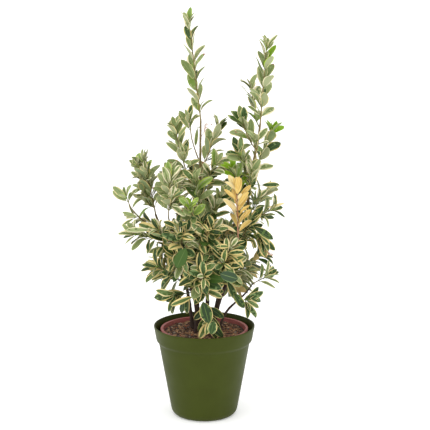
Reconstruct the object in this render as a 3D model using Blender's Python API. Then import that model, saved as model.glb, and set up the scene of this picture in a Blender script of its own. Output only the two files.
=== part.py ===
"""A variegated euonymus in its grower's pot, standing inside a green cover pot.

Run it with blender --background --python part.py, or from Blender's text
editor. The origin is the middle of the cover pot's flat underside, +Z is up,
and -Y is the side that a person in front of the plant sees. Sizes and places
are written in millimetres and turned to metres when a mesh is made.
"""

import math
import random

import bmesh
import bpy
from mathutils import Vector

MM = 0.001

# Clearances and mesh fineness
GAP = 0.3
LEAF_GAP = 0.25
POT_SIDES = 40
STEM_SIDES = 8
BOUGH_SIDES = 6
SHOOT_SIDES = 8
SPAN_STEPS = 3
POT_SHARP = math.radians(35)
PLANT_SHARP = math.radians(60)

# Cover pot: outer radii and heights, and the wall behind them
POT_HEIGHT = 200.0
RIM_RADIUS = 110.0
BAND_FOOT_RADIUS = 104.5
BAND_FOOT_HEIGHT = 168.0
STEP_RADIUS = 99.0
STEP_HEIGHT = 160.0
POT_FOOT_RADIUS = 72.0
POT_FOOT_HEIGHT = 8.0
UNDERSIDE_RADIUS = 64.0
POT_WALL = 3.0
RIM_ROUND = 1.0
BAND_TUCK = 1.8
CREASE = 3.5
FOOT_ROUND = 2.8

# Grower's pot, standing on the cover pot's floor
GROWER_BASE = POT_WALL + GAP
GROWER_HEIGHT = 190.0
GROWER_RIM_RADIUS = 95.5
GROWER_BASE_RADIUS = 64.0
LIP_WIDTH = 7.0
LIP_DEPTH = 12.0
GROWER_WALL = 1.6
LIP_ROUND = 1.0

# Soil, filled to a little under the grower's rim, level where stems leave it
SOIL_TOP = 181.0
SOIL_LEVEL_RADIUS = 52.0
SOIL_LUMP = 3.0
SOIL_RINGS = 7
SOIL_SIDES = 36

# Root flare: how much wider a stem is where it meets the soil, and how far up
FLARE = 0.55
FLARE_HEIGHT = 22.0

SEAT = SOIL_TOP + GAP

# Stems: places from soil to tip, radius at the foot, radius at the tip
STEMS = {
    "stem_left_leader": (
        [(4, -3, SEAT), (7, -2, 250), (5, 0, 310), (-2, 2, 390), (-8, 3, 480), (-8, 4, 570), (-7, 5, 648)],
        4.6, 2.0),
    "stem_right_leader": (
        [(20, -6, SEAT), (28, -4, 240), (46, -1, 288), (76, 3, 367), (92, 5, 430), (97, 4, 515),
         (112, 1, 590), (119, -2, 640)],
        4.8, 2.1),
    "stem_left": (
        [(-16, -10, SEAT), (-18, -10, 250), (-33, -8, 295), (-60, -2, 345), (-88, 8, 400), (-104, 15, 440)],
        4.5, 2.2),
    "stem_centre": (
        [(-10, 10, SEAT), (-16, 15, 262), (-18, 28, 340), (-12, 40, 410), (-6, 48, 466)],
        4.4, 2.2),
    "stem_low_right": (
        [(27, -24, SEAT), (45, -25, 232), (64, -26, 254), (87, -28, 275), (103, -31, 298)],
        2.6, 1.5),
    "stem_back_left": (
        [(-24, 20, SEAT), (-38, 44, 270), (-54, 64, 350), (-60, 76, 430)],
        4.0, 2.2),
    "stem_back_right": (
        [(16, 20, SEAT), (34, 46, 270), (54, 66, 350), (68, 76, 422)],
        4.0, 2.2),
}

# Boughs: the limb that carries them, the height where they leave it, their
# further places, radius at the foot, radius at the tip
BOUGHS = {
    "bough_left_tip": ("stem_left", 408, [(-116, 2, 421), (-138, -13, 440), (-156, -27, 466)], 1.7, 1.3),
    "bough_left_mid": ("stem_left", 368, [(-65, -24, 402), (-75, -46, 447)], 1.8, 1.4),
    "bough_left_upper": ("stem_left_leader", 462, [(-20, -11, 494), (-34, -25, 532)], 1.8, 1.4),
    "bough_left_inner": ("stem_left_leader", 560, [(-18, -16, 585), (-26, -32, 616)], 1.4, 1.1),
    "bough_yellow": ("stem_right_leader", 318, [(66, -36, 352), (72, -64, 402)], 1.9, 1.4),
}

# Shoots in leaf: the limb that carries the mass, the height on it (None is
# the limb's end), the mass's tip, its radius low down and high up, its tiers
FOLIAGE = {
    "foliage_left_leader": ("stem_left_leader", None, (-34, 12, 881), 14, 26, 4),
    "foliage_left_inner": ("bough_left_inner", None, (-35, -45, 679), 16, 18, 1),
    "foliage_left_upper": ("bough_left_upper", None, (-66, -42, 661), 25, 21, 3),
    "foliage_mid_upper": ("stem_left_leader", 536, (38, 44, 654), 20, 27, 2),
    "foliage_mid_right": ("stem_left_leader", 494, (34, -32, 586), 18, 22, 2),
    "foliage_left_outer": ("stem_left", None, (-134, 32, 583), 23, 22, 3),
    "foliage_left_tip": ("bough_left_tip", None, (-173, -38, 514), 14, 19, 1),
    "foliage_left_arm": ("stem_left", 422, (-178, 20, 444), 14, 12, 2),
    "foliage_left_mid": ("bough_left_mid", None, (-69, -62, 563), 22, 22, 2),
    "foliage_left_arm_low": ("stem_left", 388, (-169, -50, 418), 17, 14, 2),
    "foliage_centre_upper": ("stem_left_leader", 446, (-24, -62, 552), 22, 26, 2),
    "foliage_centre_young": ("stem_left_leader", 392, (-34, -96, 498), 20, 25, 2),
    "foliage_centre_right": ("stem_left_leader", 408, (46, -48, 516), 22, 22, 2),
    "foliage_centre_back": ("stem_centre", None, (2, 64, 538), 24, 25, 1),
    "foliage_body_left": ("stem_left", 346, (-107, -50, 450), 27, 28, 2),
    "foliage_body_left_low": ("stem_left", 308, (-123, -58, 358), 26, 24, 2),
    "foliage_body_centre_left": ("stem_left", 320, (-50, -98, 444), 28, 29, 2),
    "foliage_body_centre": ("stem_left_leader", 334, (6, -84, 452), 28, 30, 2),
    "foliage_body_right": ("stem_right_leader", 284, (48, -100, 404), 29, 29, 3),
    "foliage_front_centre": ("stem_left_leader", 276, (-16, -116, 358), 28, 28, 2),
    "foliage_low_left": ("stem_left", 276, (-90, -58, 282), 20, 22, 2),
    "foliage_front_skirt": ("stem_left_leader", 250, (13, -96, 211), 15, 17, 2),
    "foliage_right_leader": ("stem_right_leader", None, (134, -5, 829), 18, 21, 4),
    "foliage_right_inner": ("stem_right_leader", 622, (97, 42, 738), 12, 14, 2),
    "foliage_right_buds": ("stem_right_leader", 584, (70, -36, 674), 20, 20, 2),
    "foliage_right_upper": ("stem_right_leader", 566, (111, -30, 637), 20, 20, 1),
    "foliage_right_side": ("stem_right_leader", 520, (156, 42, 643), 18, 13, 3),
    "foliage_right_mid_left": ("stem_right_leader", 522, (66, -58, 608), 19, 19, 2),
    "foliage_right_mid": ("stem_right_leader", 482, (102, -48, 566), 20, 20, 2),
    "foliage_right_outer": ("stem_right_leader", 446, (153, 35, 510), 18, 21, 2),
    "foliage_right_arm": ("stem_right_leader", 432, (171, -15, 471), 13, 9, 2),
    "foliage_young_green": ("stem_right_leader", 464, (55, -44, 573), 18, 20, 2),
    "foliage_yellow": ("bough_yellow", None, (67, -76, 541), 18, 22, 3),
    "foliage_right_body": ("stem_right_leader", 380, (106, -52, 472), 23, 23, 2),
    "foliage_right_droop": ("stem_right_leader", 402, (149, -38, 402), 17, 13, 2),
    "foliage_low_right": ("stem_right_leader", 322, (149, 10, 372), 22, 25, 2),
    "foliage_low_right_tip": ("stem_low_right", None, (156, -38, 330), 16, 14, 1),
    "foliage_low_right_hang": ("stem_low_right", 262, (112, -62, 279), 16, 17, 1),
    "foliage_back_left_low": ("stem_back_left", 276, (-112, 84, 326), 27, 29, 2),
    "foliage_back_left": ("stem_back_left", 330, (-52, 136, 402), 28, 30, 2),
    "foliage_back_left_top": ("stem_back_left", None, (-74, 94, 536), 27, 27, 2),
    "foliage_back_centre": ("stem_centre", 324, (2, 112, 410), 27, 29, 2),
    "foliage_back_right_low": ("stem_back_right", 272, (104, 90, 326), 27, 29, 2),
    "foliage_back_right": ("stem_back_right", 330, (62, 136, 404), 28, 30, 2),
    "foliage_back_right_top": ("stem_back_right", None, (82, 96, 524), 25, 27, 2),
}

# A mass of foliage: how uneven it is, how narrow it is between two tiers, and
# how far its axis stays back from its foot and its tip, as shares of a radius
UNEVEN = 0.17
WAIST = 0.62
FOOT_SETBACK = 0.55
TIP_SETBACK = 0.75
WAIST_PLACE = 0.16
BULGE_PLACE = 0.68
SWELL = 1.5


def clear_scene():
    for thing in list(bpy.data.objects):
        bpy.data.objects.remove(thing, do_unlink=True)


def linear(hex_colour):
    """Turn an sRGB hex colour into linear red, green, blue and alpha."""
    parts = [int(hex_colour[i:i + 2], 16) / 255 for i in (1, 3, 5)]
    lit = [p / 12.92 if p <= 0.04045 else ((p + 0.055) / 1.055) ** 2.4 for p in parts]
    return (*lit, 1.0)


def principled(name, hex_colour, roughness):
    material = bpy.data.materials.new(name)
    material.use_nodes = True
    shader = material.node_tree.nodes["Principled BSDF"]
    shader.inputs["Base Color"].default_value = linear(hex_colour)
    shader.inputs["Roughness"].default_value = roughness
    shader.inputs["Metallic"].default_value = 0.0
    return material


def cover_pot_plastic():
    return principled("olive_green_polypropylene", "#56622c", 0.42)


def grower_pot_plastic():
    return principled("dusty_pink_polypropylene", "#ad6a68", 0.55)


def bark_chip_soil():
    return principled("bark_chip_soil", "#5a4232", 0.95)


def bark():
    return principled("brown_bark", "#4a3428", 0.85)


def foliage(name):
    """Leaf colour by shoot: one is all yellow, some are young and bright."""
    if "yellow" in name:
        return principled("yellow_leaf", "#e0c268", 0.5)
    if "young" in name:
        return principled("young_green_leaf", "#8aa848", 0.5)
    if any(word in name for word in ("upper", "leader", "outer", "inner", "tip")):
        return principled("sage_leaf", "#8fa070", 0.5)
    return principled("dark_green_leaf", "#4c6a44", 0.5)


def add_object(name, vertices, faces, material):
    """Make one object from places in millimetres."""
    mesh = bpy.data.meshes.new(name)
    mesh.from_pydata([Vector(v) * MM for v in vertices], [], faces)
    mesh.materials.append(material)
    mesh.shade_smooth()
    mesh.set_sharp_from_angle(angle=PLANT_SHARP)
    thing = bpy.data.objects.new(name, mesh)
    bpy.context.scene.collection.objects.link(thing)
    return thing


def turned(name, profile, material):
    """Turn a closed profile of (radius, height) about the Z axis.

    The profile goes up the inner side and back down the outer side. Its
    points on the axis become single points.
    """
    mesh = bmesh.new()
    outline = [mesh.verts.new((r * MM, 0, z * MM)) for r, z in profile]
    edges = [mesh.edges.new(pair) for pair in zip(outline, outline[1:] + outline[:1])
             if pair[0].co.x > 0 or pair[1].co.x > 0]
    bmesh.ops.spin(mesh, geom=outline + edges, cent=(0, 0, 0), axis=(0, 0, 1),
                   angle=2 * math.pi, steps=POT_SIDES, use_merge=False)
    bmesh.ops.remove_doubles(mesh, verts=mesh.verts, dist=1e-6)
    bmesh.ops.recalc_face_normals(mesh, faces=mesh.faces)
    data = bpy.data.meshes.new(name)
    mesh.to_mesh(data)
    mesh.free()
    data.materials.append(material)
    data.shade_smooth()
    data.set_sharp_from_angle(angle=POT_SHARP)
    thing = bpy.data.objects.new(name, data)
    bpy.context.scene.collection.objects.link(thing)
    return thing


def make_cover_pot():
    """The tapering pot, with its band under the rim and the step below it."""
    profile = [
        (0, 0), (0, POT_WALL),
        (POT_FOOT_RADIUS - 2 * POT_WALL, POT_WALL),
        (POT_FOOT_RADIUS - POT_WALL, POT_FOOT_HEIGHT),
        (STEP_RADIUS - POT_WALL, STEP_HEIGHT),
        (BAND_FOOT_RADIUS - POT_WALL, BAND_FOOT_HEIGHT),
        (RIM_RADIUS - POT_WALL, POT_HEIGHT - RIM_ROUND),
        (RIM_RADIUS - POT_WALL + RIM_ROUND, POT_HEIGHT),
        (RIM_RADIUS - RIM_ROUND, POT_HEIGHT),
        (RIM_RADIUS, POT_HEIGHT - RIM_ROUND),
        (BAND_FOOT_RADIUS, BAND_FOOT_HEIGHT),
        (BAND_FOOT_RADIUS - BAND_TUCK, STEP_HEIGHT + BAND_TUCK * 1.5),
        (STEP_RADIUS + BAND_TUCK / 2, STEP_HEIGHT),
        (STEP_RADIUS - BAND_TUCK / 4, STEP_HEIGHT - CREASE),
        (POT_FOOT_RADIUS, POT_FOOT_HEIGHT),
        (POT_FOOT_RADIUS - FOOT_ROUND * 0.7, FOOT_ROUND),
        (POT_FOOT_RADIUS - FOOT_ROUND * 1.6, FOOT_ROUND / 4),
        (UNDERSIDE_RADIUS, 0),
    ]
    return turned("cover_pot", profile, cover_pot_plastic())


def grower_wall_radius(height):
    """Outer radius of the grower's pot below its lip."""
    top = GROWER_BASE + GROWER_HEIGHT - LIP_DEPTH
    top_radius = GROWER_RIM_RADIUS - LIP_WIDTH + GROWER_WALL
    share = (height - GROWER_BASE) / (top - GROWER_BASE)
    return GROWER_BASE_RADIUS + (top_radius - GROWER_BASE_RADIUS) * share


def make_grower_pot():
    """The thin pot that the plant grew up in, with its wide rolled lip."""
    rim = GROWER_BASE + GROWER_HEIGHT
    lip_foot = rim - LIP_DEPTH
    wall_top = grower_wall_radius(lip_foot)
    floor = GROWER_BASE + GROWER_WALL
    lip_inside = GROWER_RIM_RADIUS - LIP_WIDTH
    profile = [
        (0, GROWER_BASE), (0, floor),
        (grower_wall_radius(floor) - GROWER_WALL, floor),
        (wall_top - GROWER_WALL, lip_foot),
        (lip_inside + LIP_ROUND / 2, rim - LIP_ROUND),
        (lip_inside + LIP_ROUND * 1.5, rim),
        (GROWER_RIM_RADIUS - LIP_ROUND, rim),
        (GROWER_RIM_RADIUS, rim - LIP_ROUND),
        (GROWER_RIM_RADIUS - LIP_ROUND, lip_foot),
        (wall_top, lip_foot - GROWER_WALL),
        (GROWER_BASE_RADIUS + LIP_ROUND / 4, GROWER_BASE + LIP_ROUND),
        (GROWER_BASE_RADIUS - LIP_ROUND, GROWER_BASE),
    ]
    return turned("grower_pot", profile, grower_pot_plastic())


def make_soil():
    """Soil with an uneven top that is level around the stems."""
    chance = random.Random("soil")
    bottom = GROWER_BASE + GROWER_WALL + GAP

    def edge_radius(height):
        facet = math.cos(math.pi / POT_SIDES)
        return (grower_wall_radius(height) - GROWER_WALL) * facet - GAP

    vertices = [(0, 0, SOIL_TOP)]
    for ring in range(1, SOIL_RINGS + 1):
        radius = edge_radius(SOIL_TOP - SOIL_LUMP) * ring / SOIL_RINGS
        lump = SOIL_LUMP if radius > SOIL_LEVEL_RADIUS else 0.0
        for side in range(SOIL_SIDES):
            angle = 2 * math.pi * side / SOIL_SIDES
            height = SOIL_TOP + lump * chance.uniform(-1.0, 0.6)
            vertices.append((radius * math.cos(angle), radius * math.sin(angle), height))
    for side in range(SOIL_SIDES):
        angle = 2 * math.pi * side / SOIL_SIDES
        radius = edge_radius(bottom)
        vertices.append((radius * math.cos(angle), radius * math.sin(angle), bottom))
    vertices.append((0, 0, bottom))
    faces = ring_faces(SOIL_RINGS + 1, SOIL_SIDES, flipped=True)
    return add_object("soil", vertices, faces, bark_chip_soil())


def ring_faces(rings, sides, flipped=False):
    """Faces of a closed body: a first point, rings of points, a last point."""
    faces = []
    last = rings * sides + 1
    for side in range(sides):
        after = (side + 1) % sides
        faces.append((0, 1 + after, 1 + side))
        for ring in range(rings - 1):
            low = 1 + ring * sides
            high = low + sides
            faces.append((low + side, low + after, high + after, high + side))
        top = 1 + (rings - 1) * sides
        faces.append((top + side, top + after, last))
    if flipped:
        faces = [tuple(reversed(face)) for face in faces]
    return faces


def smooth_path(places):
    """A smooth curve through the places, as evenly stepped points."""
    points = [Vector(p) for p in places]
    ends = [2 * points[0] - points[1]] + points + [2 * points[-1] - points[-2]]
    path = []
    for k in range(len(points) - 1):
        a, b, c, d = ends[k:k + 4]
        for step in range(SPAN_STEPS):
            t = step / SPAN_STEPS
            path.append(0.5 * ((2 * b) + (c - a) * t + (2 * a - 5 * b + 4 * c - d) * t ** 2
                               + (3 * b - a - 3 * c + d) * t ** 3))
    return path + [points[-1]]


class Limb:
    """A tapering stem or bough: its centre line and its radius along it."""

    def __init__(self, name, places, foot_radius, tip_radius, seat=None):
        self.name = name
        self.path = smooth_path(places)
        self.seat = seat
        count = len(self.path) - 1
        self.radii = [foot_radius + (tip_radius - foot_radius) * k / count for k in range(count + 1)]
        if seat is None:
            foot = self.path[0].z
            for k, point in enumerate(self.path):
                rise = max(0.0, 1 - (point.z - foot) / FLARE_HEIGHT)
                self.radii[k] *= 1 + FLARE * rise

    def at_height(self, height):
        """The point, direction and radius of the limb at a height."""
        for k in range(len(self.path) - 1):
            low, high = self.path[k], self.path[k + 1]
            if low.z <= height <= high.z:
                share = (height - low.z) / (high.z - low.z)
                radius = self.radii[k] + (self.radii[k + 1] - self.radii[k]) * share
                return low.lerp(high, share), (high - low).normalized(), radius
        raise ValueError(f"{self.name} doesn't reach {height}")

    def side_seat(self, height, towards):
        """Where something leaves this limb's side, and the way it faces."""
        point, direction, radius = self.at_height(height)
        away = Vector(towards) - point
        away -= direction * away.dot(direction)
        away.normalize()
        return point + away * (radius + GAP), away

    def end_seat(self):
        direction = (self.path[-1] - self.path[-2]).normalized()
        return self.path[-1] + direction * GAP, direction

    def segments(self):
        for k in range(len(self.path) - 1):
            yield self.path[k], self.path[k + 1], self.radii[k], self.radii[k + 1]

    def make(self, sides):
        """Build the tapering body, cut flat at the soil or at its carrier."""
        vertices = [self.path[0]]
        count = len(self.path)
        for k, point in enumerate(self.path):
            before = self.path[max(k - 1, 0)]
            after = self.path[min(k + 1, count - 1)]
            direction = (after - before).normalized()
            cut = direction
            if k == 0:
                cut = self.seat or Vector((0, 0, 1))
            across = Vector((0, 1, 0)).cross(direction).normalized()
            other = direction.cross(across)
            for side in range(sides):
                angle = 2 * math.pi * side / sides
                spoke = (across * math.cos(angle) + other * math.sin(angle)) * self.radii[k]
                slide = spoke.dot(cut) / direction.dot(cut)
                vertices.append(point + spoke - direction * slide)
        vertices.append(self.path[-1])
        return add_object(self.name, vertices, ring_faces(count, sides), bark())


def closest_points(a0, a1, b0, b1):
    """The nearest points of two straight lines that end at these points."""
    u, v, w = a1 - a0, b1 - b0, a0 - b0
    a, b, c, d, e = u.dot(u), u.dot(v), v.dot(v), u.dot(w), v.dot(w)
    slant = a * c - b * b
    s = min(1.0, max(0.0, (b * e - c * d) / slant)) if slant > 1e-9 else 0.0
    t = (b * s + e) / c
    if t < 0.0 or t > 1.0:
        t = min(1.0, max(0.0, t))
        s = min(1.0, max(0.0, (b * t - d) / a))
    return a0 + u * s, b0 + v * t


class Mass:
    """One mass of leaves along a shoot, kept clear of limbs and neighbours.

    Flat walls stand between a mass and everything near it. A point that
    would pass a wall is pulled back towards the mass's own axis, so two
    masses meet along a flat face and a limb is never buried.
    """

    def __init__(self, name, foot, tip, low_radius, high_radius, tiers):
        self.name = name
        self.foot = Vector(foot)
        self.tip = Vector(tip)
        self.low_radius = low_radius
        self.high_radius = high_radius
        self.tiers = tiers
        along = (self.tip - self.foot).normalized()
        self.low = self.foot + along * low_radius * FOOT_SETBACK
        self.high = self.tip - along * high_radius * TIP_SETBACK
        self.walls = []

    def radius_at(self, share):
        return self.low_radius + (self.high_radius - self.low_radius) * share ** SWELL

    def wall_off_limb(self, limb):
        """Add a wall against each straight piece of a limb."""
        for start, end, start_radius, end_radius in limb.segments():
            mine, theirs = closest_points(self.low, self.high, start, end)
            away = (theirs - mine).normalized()
            slant = (end - start).normalized().dot(away)
            round_part = math.sqrt(max(0.0, 1 - slant * slant))
            reach = min(start.dot(away) - start_radius * round_part,
                        end.dot(away) - end_radius * round_part)
            room = reach - GAP - mine.dot(away)
            if room < 2.0:
                print(f"tight: {self.name} and {limb.name}, {room:.1f} mm")
            self.walls.append((away, reach - GAP))

    def wall_off_mass(self, other):
        """Add one shared wall between two masses, by their radii."""
        mine, theirs = closest_points(self.low, self.high, other.low, other.high)
        away = theirs - mine
        distance = away.length
        away.normalize()
        if distance < 8.0:
            print(f"tight: {self.name} and {other.name}, {distance:.1f} mm")
        share = self.high_radius / (self.high_radius + other.high_radius)
        middle = mine.dot(away) + distance * share
        self.walls.append((away, middle - LEAF_GAP / 2))
        other.walls.append((-away, -middle - LEAF_GAP / 2))

    def pulled_in(self, point):
        """The point, moved towards the axis until it is inside every wall."""
        line = self.high - self.low
        share = min(1.0, max(0.0, (point - self.low).dot(line) / line.length_squared))
        anchor = self.low + line * share
        spoke = point - anchor
        scale = 1.0
        for away, limit in self.walls:
            reach = spoke.dot(away)
            room = limit - anchor.dot(away)
            if reach * scale > room:
                scale = max(0.02, room / reach)
        return anchor + spoke * scale

    def make(self):
        chance = random.Random(self.name)
        direction = (self.tip - self.foot).normalized()
        across = direction.orthogonal().normalized()
        other = direction.cross(across)
        rings = []
        for tier in range(self.tiers):
            rings.append(((tier + WAIST_PLACE) / self.tiers, WAIST))
            rings.append(((tier + BULGE_PLACE) / self.tiers, 1.0))
        rings.append((1 - 0.06, WAIST * 0.8))
        points = [self.foot]
        for share, width in rings:
            centre = self.foot.lerp(self.tip, share)
            for side in range(SHOOT_SIDES):
                angle = 2 * math.pi * (side + share) / SHOOT_SIDES
                radius = self.radius_at(share) * width * (1 + chance.uniform(-UNEVEN, UNEVEN))
                lift = self.radius_at(share) * chance.uniform(-UNEVEN, UNEVEN)
                spoke = across * math.cos(angle) + other * math.sin(angle)
                points.append(centre + spoke * radius + direction * lift)
        points.append(self.tip)
        vertices = [self.pulled_in(point) for point in points]
        faces = ring_faces(len(rings), SHOOT_SIDES)
        return add_object(self.name, vertices, faces, foliage(self.name))


def make_limbs():
    limbs = {name: Limb(name, *facts) for name, facts in STEMS.items()}
    for name, (carrier, height, places, foot_radius, tip_radius) in BOUGHS.items():
        foot, away = limbs[carrier].side_seat(height, places[0])
        limbs[name] = Limb(name, [foot] + places, foot_radius, tip_radius, seat=away)
    for name, limb in limbs.items():
        limb.make(STEM_SIDES if name in STEMS else BOUGH_SIDES)
    return limbs


def make_foliage(limbs):
    masses = []
    for name, (carrier, height, tip, low_radius, high_radius, tiers) in FOLIAGE.items():
        if height is None:
            foot = limbs[carrier].end_seat()[0]
        else:
            foot = limbs[carrier].side_seat(height, tip)[0]
        masses.append(Mass(name, foot, tip, low_radius, high_radius, tiers))
    for k, mass in enumerate(masses):
        for limb in limbs.values():
            mass.wall_off_limb(limb)
        for other in masses[k + 1:]:
            mass.wall_off_mass(other)
    for mass in masses:
        mass.make()


def main():
    clear_scene()
    make_cover_pot()
    make_grower_pot()
    make_soil()
    make_foliage(make_limbs())


main()
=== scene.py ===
# %% [markdown]
# # A variegated euonymus in its green pot
#
# The CAD model gives the plant's stems as plain tapering limbs and each spray of leaves as a plain
# solid. This lesson loads it as a fixed frame, reads its sizes and places, and grows bark, twigs
# and leaves where the plain solids are. It ends with the pots, the soil and the light.

# %% Load the frame
import math
import random

import bpy
import numpy as np
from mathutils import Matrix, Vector
from mathutils import noise


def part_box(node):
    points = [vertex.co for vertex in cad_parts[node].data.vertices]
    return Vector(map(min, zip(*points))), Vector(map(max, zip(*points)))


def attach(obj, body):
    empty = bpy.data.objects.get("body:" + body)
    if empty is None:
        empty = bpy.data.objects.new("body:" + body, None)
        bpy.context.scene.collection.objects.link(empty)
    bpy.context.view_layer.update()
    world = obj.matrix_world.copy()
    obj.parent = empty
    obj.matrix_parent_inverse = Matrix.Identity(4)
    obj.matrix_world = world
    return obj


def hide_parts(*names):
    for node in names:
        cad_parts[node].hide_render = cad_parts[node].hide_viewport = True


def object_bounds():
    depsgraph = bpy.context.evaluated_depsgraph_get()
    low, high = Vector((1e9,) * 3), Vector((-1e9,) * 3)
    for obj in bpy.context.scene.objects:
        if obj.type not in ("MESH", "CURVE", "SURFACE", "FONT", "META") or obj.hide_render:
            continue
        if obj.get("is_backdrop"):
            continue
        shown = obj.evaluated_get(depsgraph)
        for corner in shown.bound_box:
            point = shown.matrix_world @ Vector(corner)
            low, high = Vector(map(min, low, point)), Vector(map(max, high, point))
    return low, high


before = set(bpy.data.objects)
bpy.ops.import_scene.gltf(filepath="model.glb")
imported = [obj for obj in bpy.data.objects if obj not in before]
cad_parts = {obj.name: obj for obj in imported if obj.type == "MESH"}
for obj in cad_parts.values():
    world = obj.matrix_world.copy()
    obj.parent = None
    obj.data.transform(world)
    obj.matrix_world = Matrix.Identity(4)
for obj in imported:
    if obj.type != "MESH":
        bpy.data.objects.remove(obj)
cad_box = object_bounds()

MM = 0.001
print("CAD nodes:", len(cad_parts))

# %% [markdown]
# ## The camera
#
# A plant in a studio is mostly photographed from a few metres away with a long lens, so that near
# and far leaves keep their sizes. The height, tilt and focal length here were worked out from the
# two ellipses of the pot, which is how a camera is found from any turned object.

# %% Camera
CAMERA_PLACE = (0.0234, -3.0, 1.057)
CAMERA_TILT = math.radians(11.545)
LENS = 119.3
SENSOR_WIDTH = 36

camera_data = bpy.data.cameras.new("camera")
camera_data.lens = LENS
camera_data.sensor_width = SENSOR_WIDTH
camera = bpy.data.objects.new("camera", camera_data)
camera.location = CAMERA_PLACE
camera.rotation_euler = (math.pi / 2 - CAMERA_TILT, 0, 0)
bpy.context.scene.collection.objects.link(camera)
bpy.context.scene.camera = camera
print("camera distance in metres:", round(Vector(CAMERA_PLACE).length, 2))

# %% [markdown]
# ## Colours
#
# Shader sockets work in linear light, while a colour that is read from a screen is sRGB. One
# function turns a hex value into linear light, with the two pieces of the sRGB curve.


# %% From sRGB to linear
def linear(hex_colour):
    """Linear RGBA from an sRGB hex colour."""
    shares = [int(hex_colour[k:k + 2], 16) / 255 for k in (1, 3, 5)]
    light = [s / 12.92 if s <= 0.04045 else ((s + 0.055) / 1.055) ** 2.4 for s in shares]
    return light + [1.0]


print("a mid grey in linear light:", round(linear("#808080")[0], 3))

# %% [markdown]
# ## Shader nodes
#
# A material is a small graph. Written out call by call it takes a page, so one small function adds
# a node with its settings, and another fills or links sockets. Every finish below is made with
# them. The finishes are kept by name, because each face of a piece names the finish it takes.


# %% Adding nodes
def fill_sockets(tree, node, sockets):
    """Link each socket of a node to another node's output, or give it a plain value."""
    for socket, value in sockets.items():
        if isinstance(value, bpy.types.NodeSocket):
            tree.links.new(value, node.inputs[socket])
        else:
            node.inputs[socket].default_value = value


def add_node(tree, kind, settings=None, sockets=None):
    """Add one node with its settings, and fill or link its sockets."""
    node = tree.nodes.new(kind)
    for name, value in (settings or {}).items():
        setattr(node, name, value)
    fill_sockets(tree, node, sockets or {})
    return node


def new_finish(name, ior):
    """An empty material: its node tree and its shader."""
    material = bpy.data.materials.new(name)
    material.use_nodes = True
    shader = material.node_tree.nodes["Principled BSDF"]
    shader.inputs["IOR"].default_value = ior
    return material, material.node_tree, shader


finishes = {}
print("finishes so far:", len(finishes))

# %% [markdown]
# ## Leaf cuticle
#
# A euonymus leaf has a thick waxy cuticle over green or cream tissue. It gives the eye a soft
# broken shine. Where the colour falls matters more than any pattern in it, so each zone of a leaf
# has a plain colour of its own, dealt out face by face, and only the relief and the shine of the
# wax come from noise. The wax cells are far too fine to show, so they are drawn 1.6 mm wide.

# %% Leaf finishes
WAX_IOR = 1.45
WAX_SPECULAR = 0.34
WAX_CELL = 1.6
LEAF_COLOURS = {
    "cuticle_dark_green": "#30491f",
    "cuticle_deep_green": "#263c1b",
    "cuticle_blue_green": "#34492f",
    "cuticle_plain_green": "#3b581c",
    "cuticle_grey_green": "#6e8450",
    "cuticle_moss_green": "#526a30",
    "cuticle_sage": "#889760",
    "cuticle_pale_sage": "#a2ad78",
    "cuticle_deep_sage": "#708048",
    "cuticle_cream": "#e8d8a0",
    "cuticle_butter": "#dfca86",
    "cuticle_ivory": "#ece3be",
    "cuticle_lime": "#7fa61a",
    "cuticle_deep_lime": "#6c961c",
    "cuticle_pale_lime": "#b0c850",
    "cuticle_straw": "#e2c474",
    "cuticle_gold": "#d4ae58",
    "cuticle_pale_yellow": "#ecd9a0",
    "cuticle_young_green": "#7c9844",
    "cuticle_red_tip": "#94604a",
    "underside_sage": "#a4ab80",
    "underside_green": "#8a9a6c",
    "underside_yellow": "#d9c285",
}


def waxy_leaf(name, colour):
    """One zone of a leaf: a plain colour under a slightly uneven wax."""
    material, tree, shader = new_finish(name, WAX_IOR)
    place = add_node(tree, "ShaderNodeTexCoord")
    cells = add_node(tree, "ShaderNodeTexNoise", None, {
        "Vector": place.outputs["Object"], "Scale": 1 / (WAX_CELL * MM), "Detail": 2.0})
    shine = add_node(tree, "ShaderNodeMapRange", None, {
        "Value": cells.outputs["Fac"], "From Min": 0.3, "From Max": 0.7, "To Min": 0.4, "To Max": 0.58})
    relief = add_node(tree, "ShaderNodeBump", None, {
        "Height": cells.outputs["Fac"], "Strength": 0.2, "Distance": 0.3 * MM})
    fill_sockets(tree, shader, {
        "Base Color": linear(colour), "Specular IOR Level": WAX_SPECULAR,
        "Roughness": shine.outputs["Result"], "Normal": relief.outputs["Normal"]})
    return material


for name, colour in LEAF_COLOURS.items():
    finishes[name] = waxy_leaf(name, colour)
print("leaf finishes:", len(finishes))

# %% [markdown]
# ## Bark
#
# The old stems of a euonymus are dark brown and finely fissured along their length, and the young
# wood above is tan green and smooth. It gives the eye a matt, streaky surface. The change from old
# to young comes with height on this plant, so the finish mixes the two by height, and noise makes
# the border wander. The fissures are noise that is stretched along the stem.

# %% Bark and twig finishes
BARK_IOR = 1.5
FISSURE_WIDTH = 1.4
FISSURE_STRETCH = 0.18
PATCH_WIDTH = 14
BORDER_WANDER = 120
CRACK_COLOUR = "#1d120c"
# Each bark: its old colour, its young colour, and the heights in millimetres where it changes.
BARKS = {
    "old_stem_bark": ("#3a2519", "#8c7a4c", 330, 520),
    "pink_young_bark": ("#8a5240", "#b98468", 330, 380),
    "green_twig_bark": ("#5d6a36", "#8b9656", 280, 520),
    "tan_twig_bark": ("#6a5334", "#9a8a58", 260, 520),
    "withered_stalk": ("#b98a5c", "#d8b49a", 400, 560),
}


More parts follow.
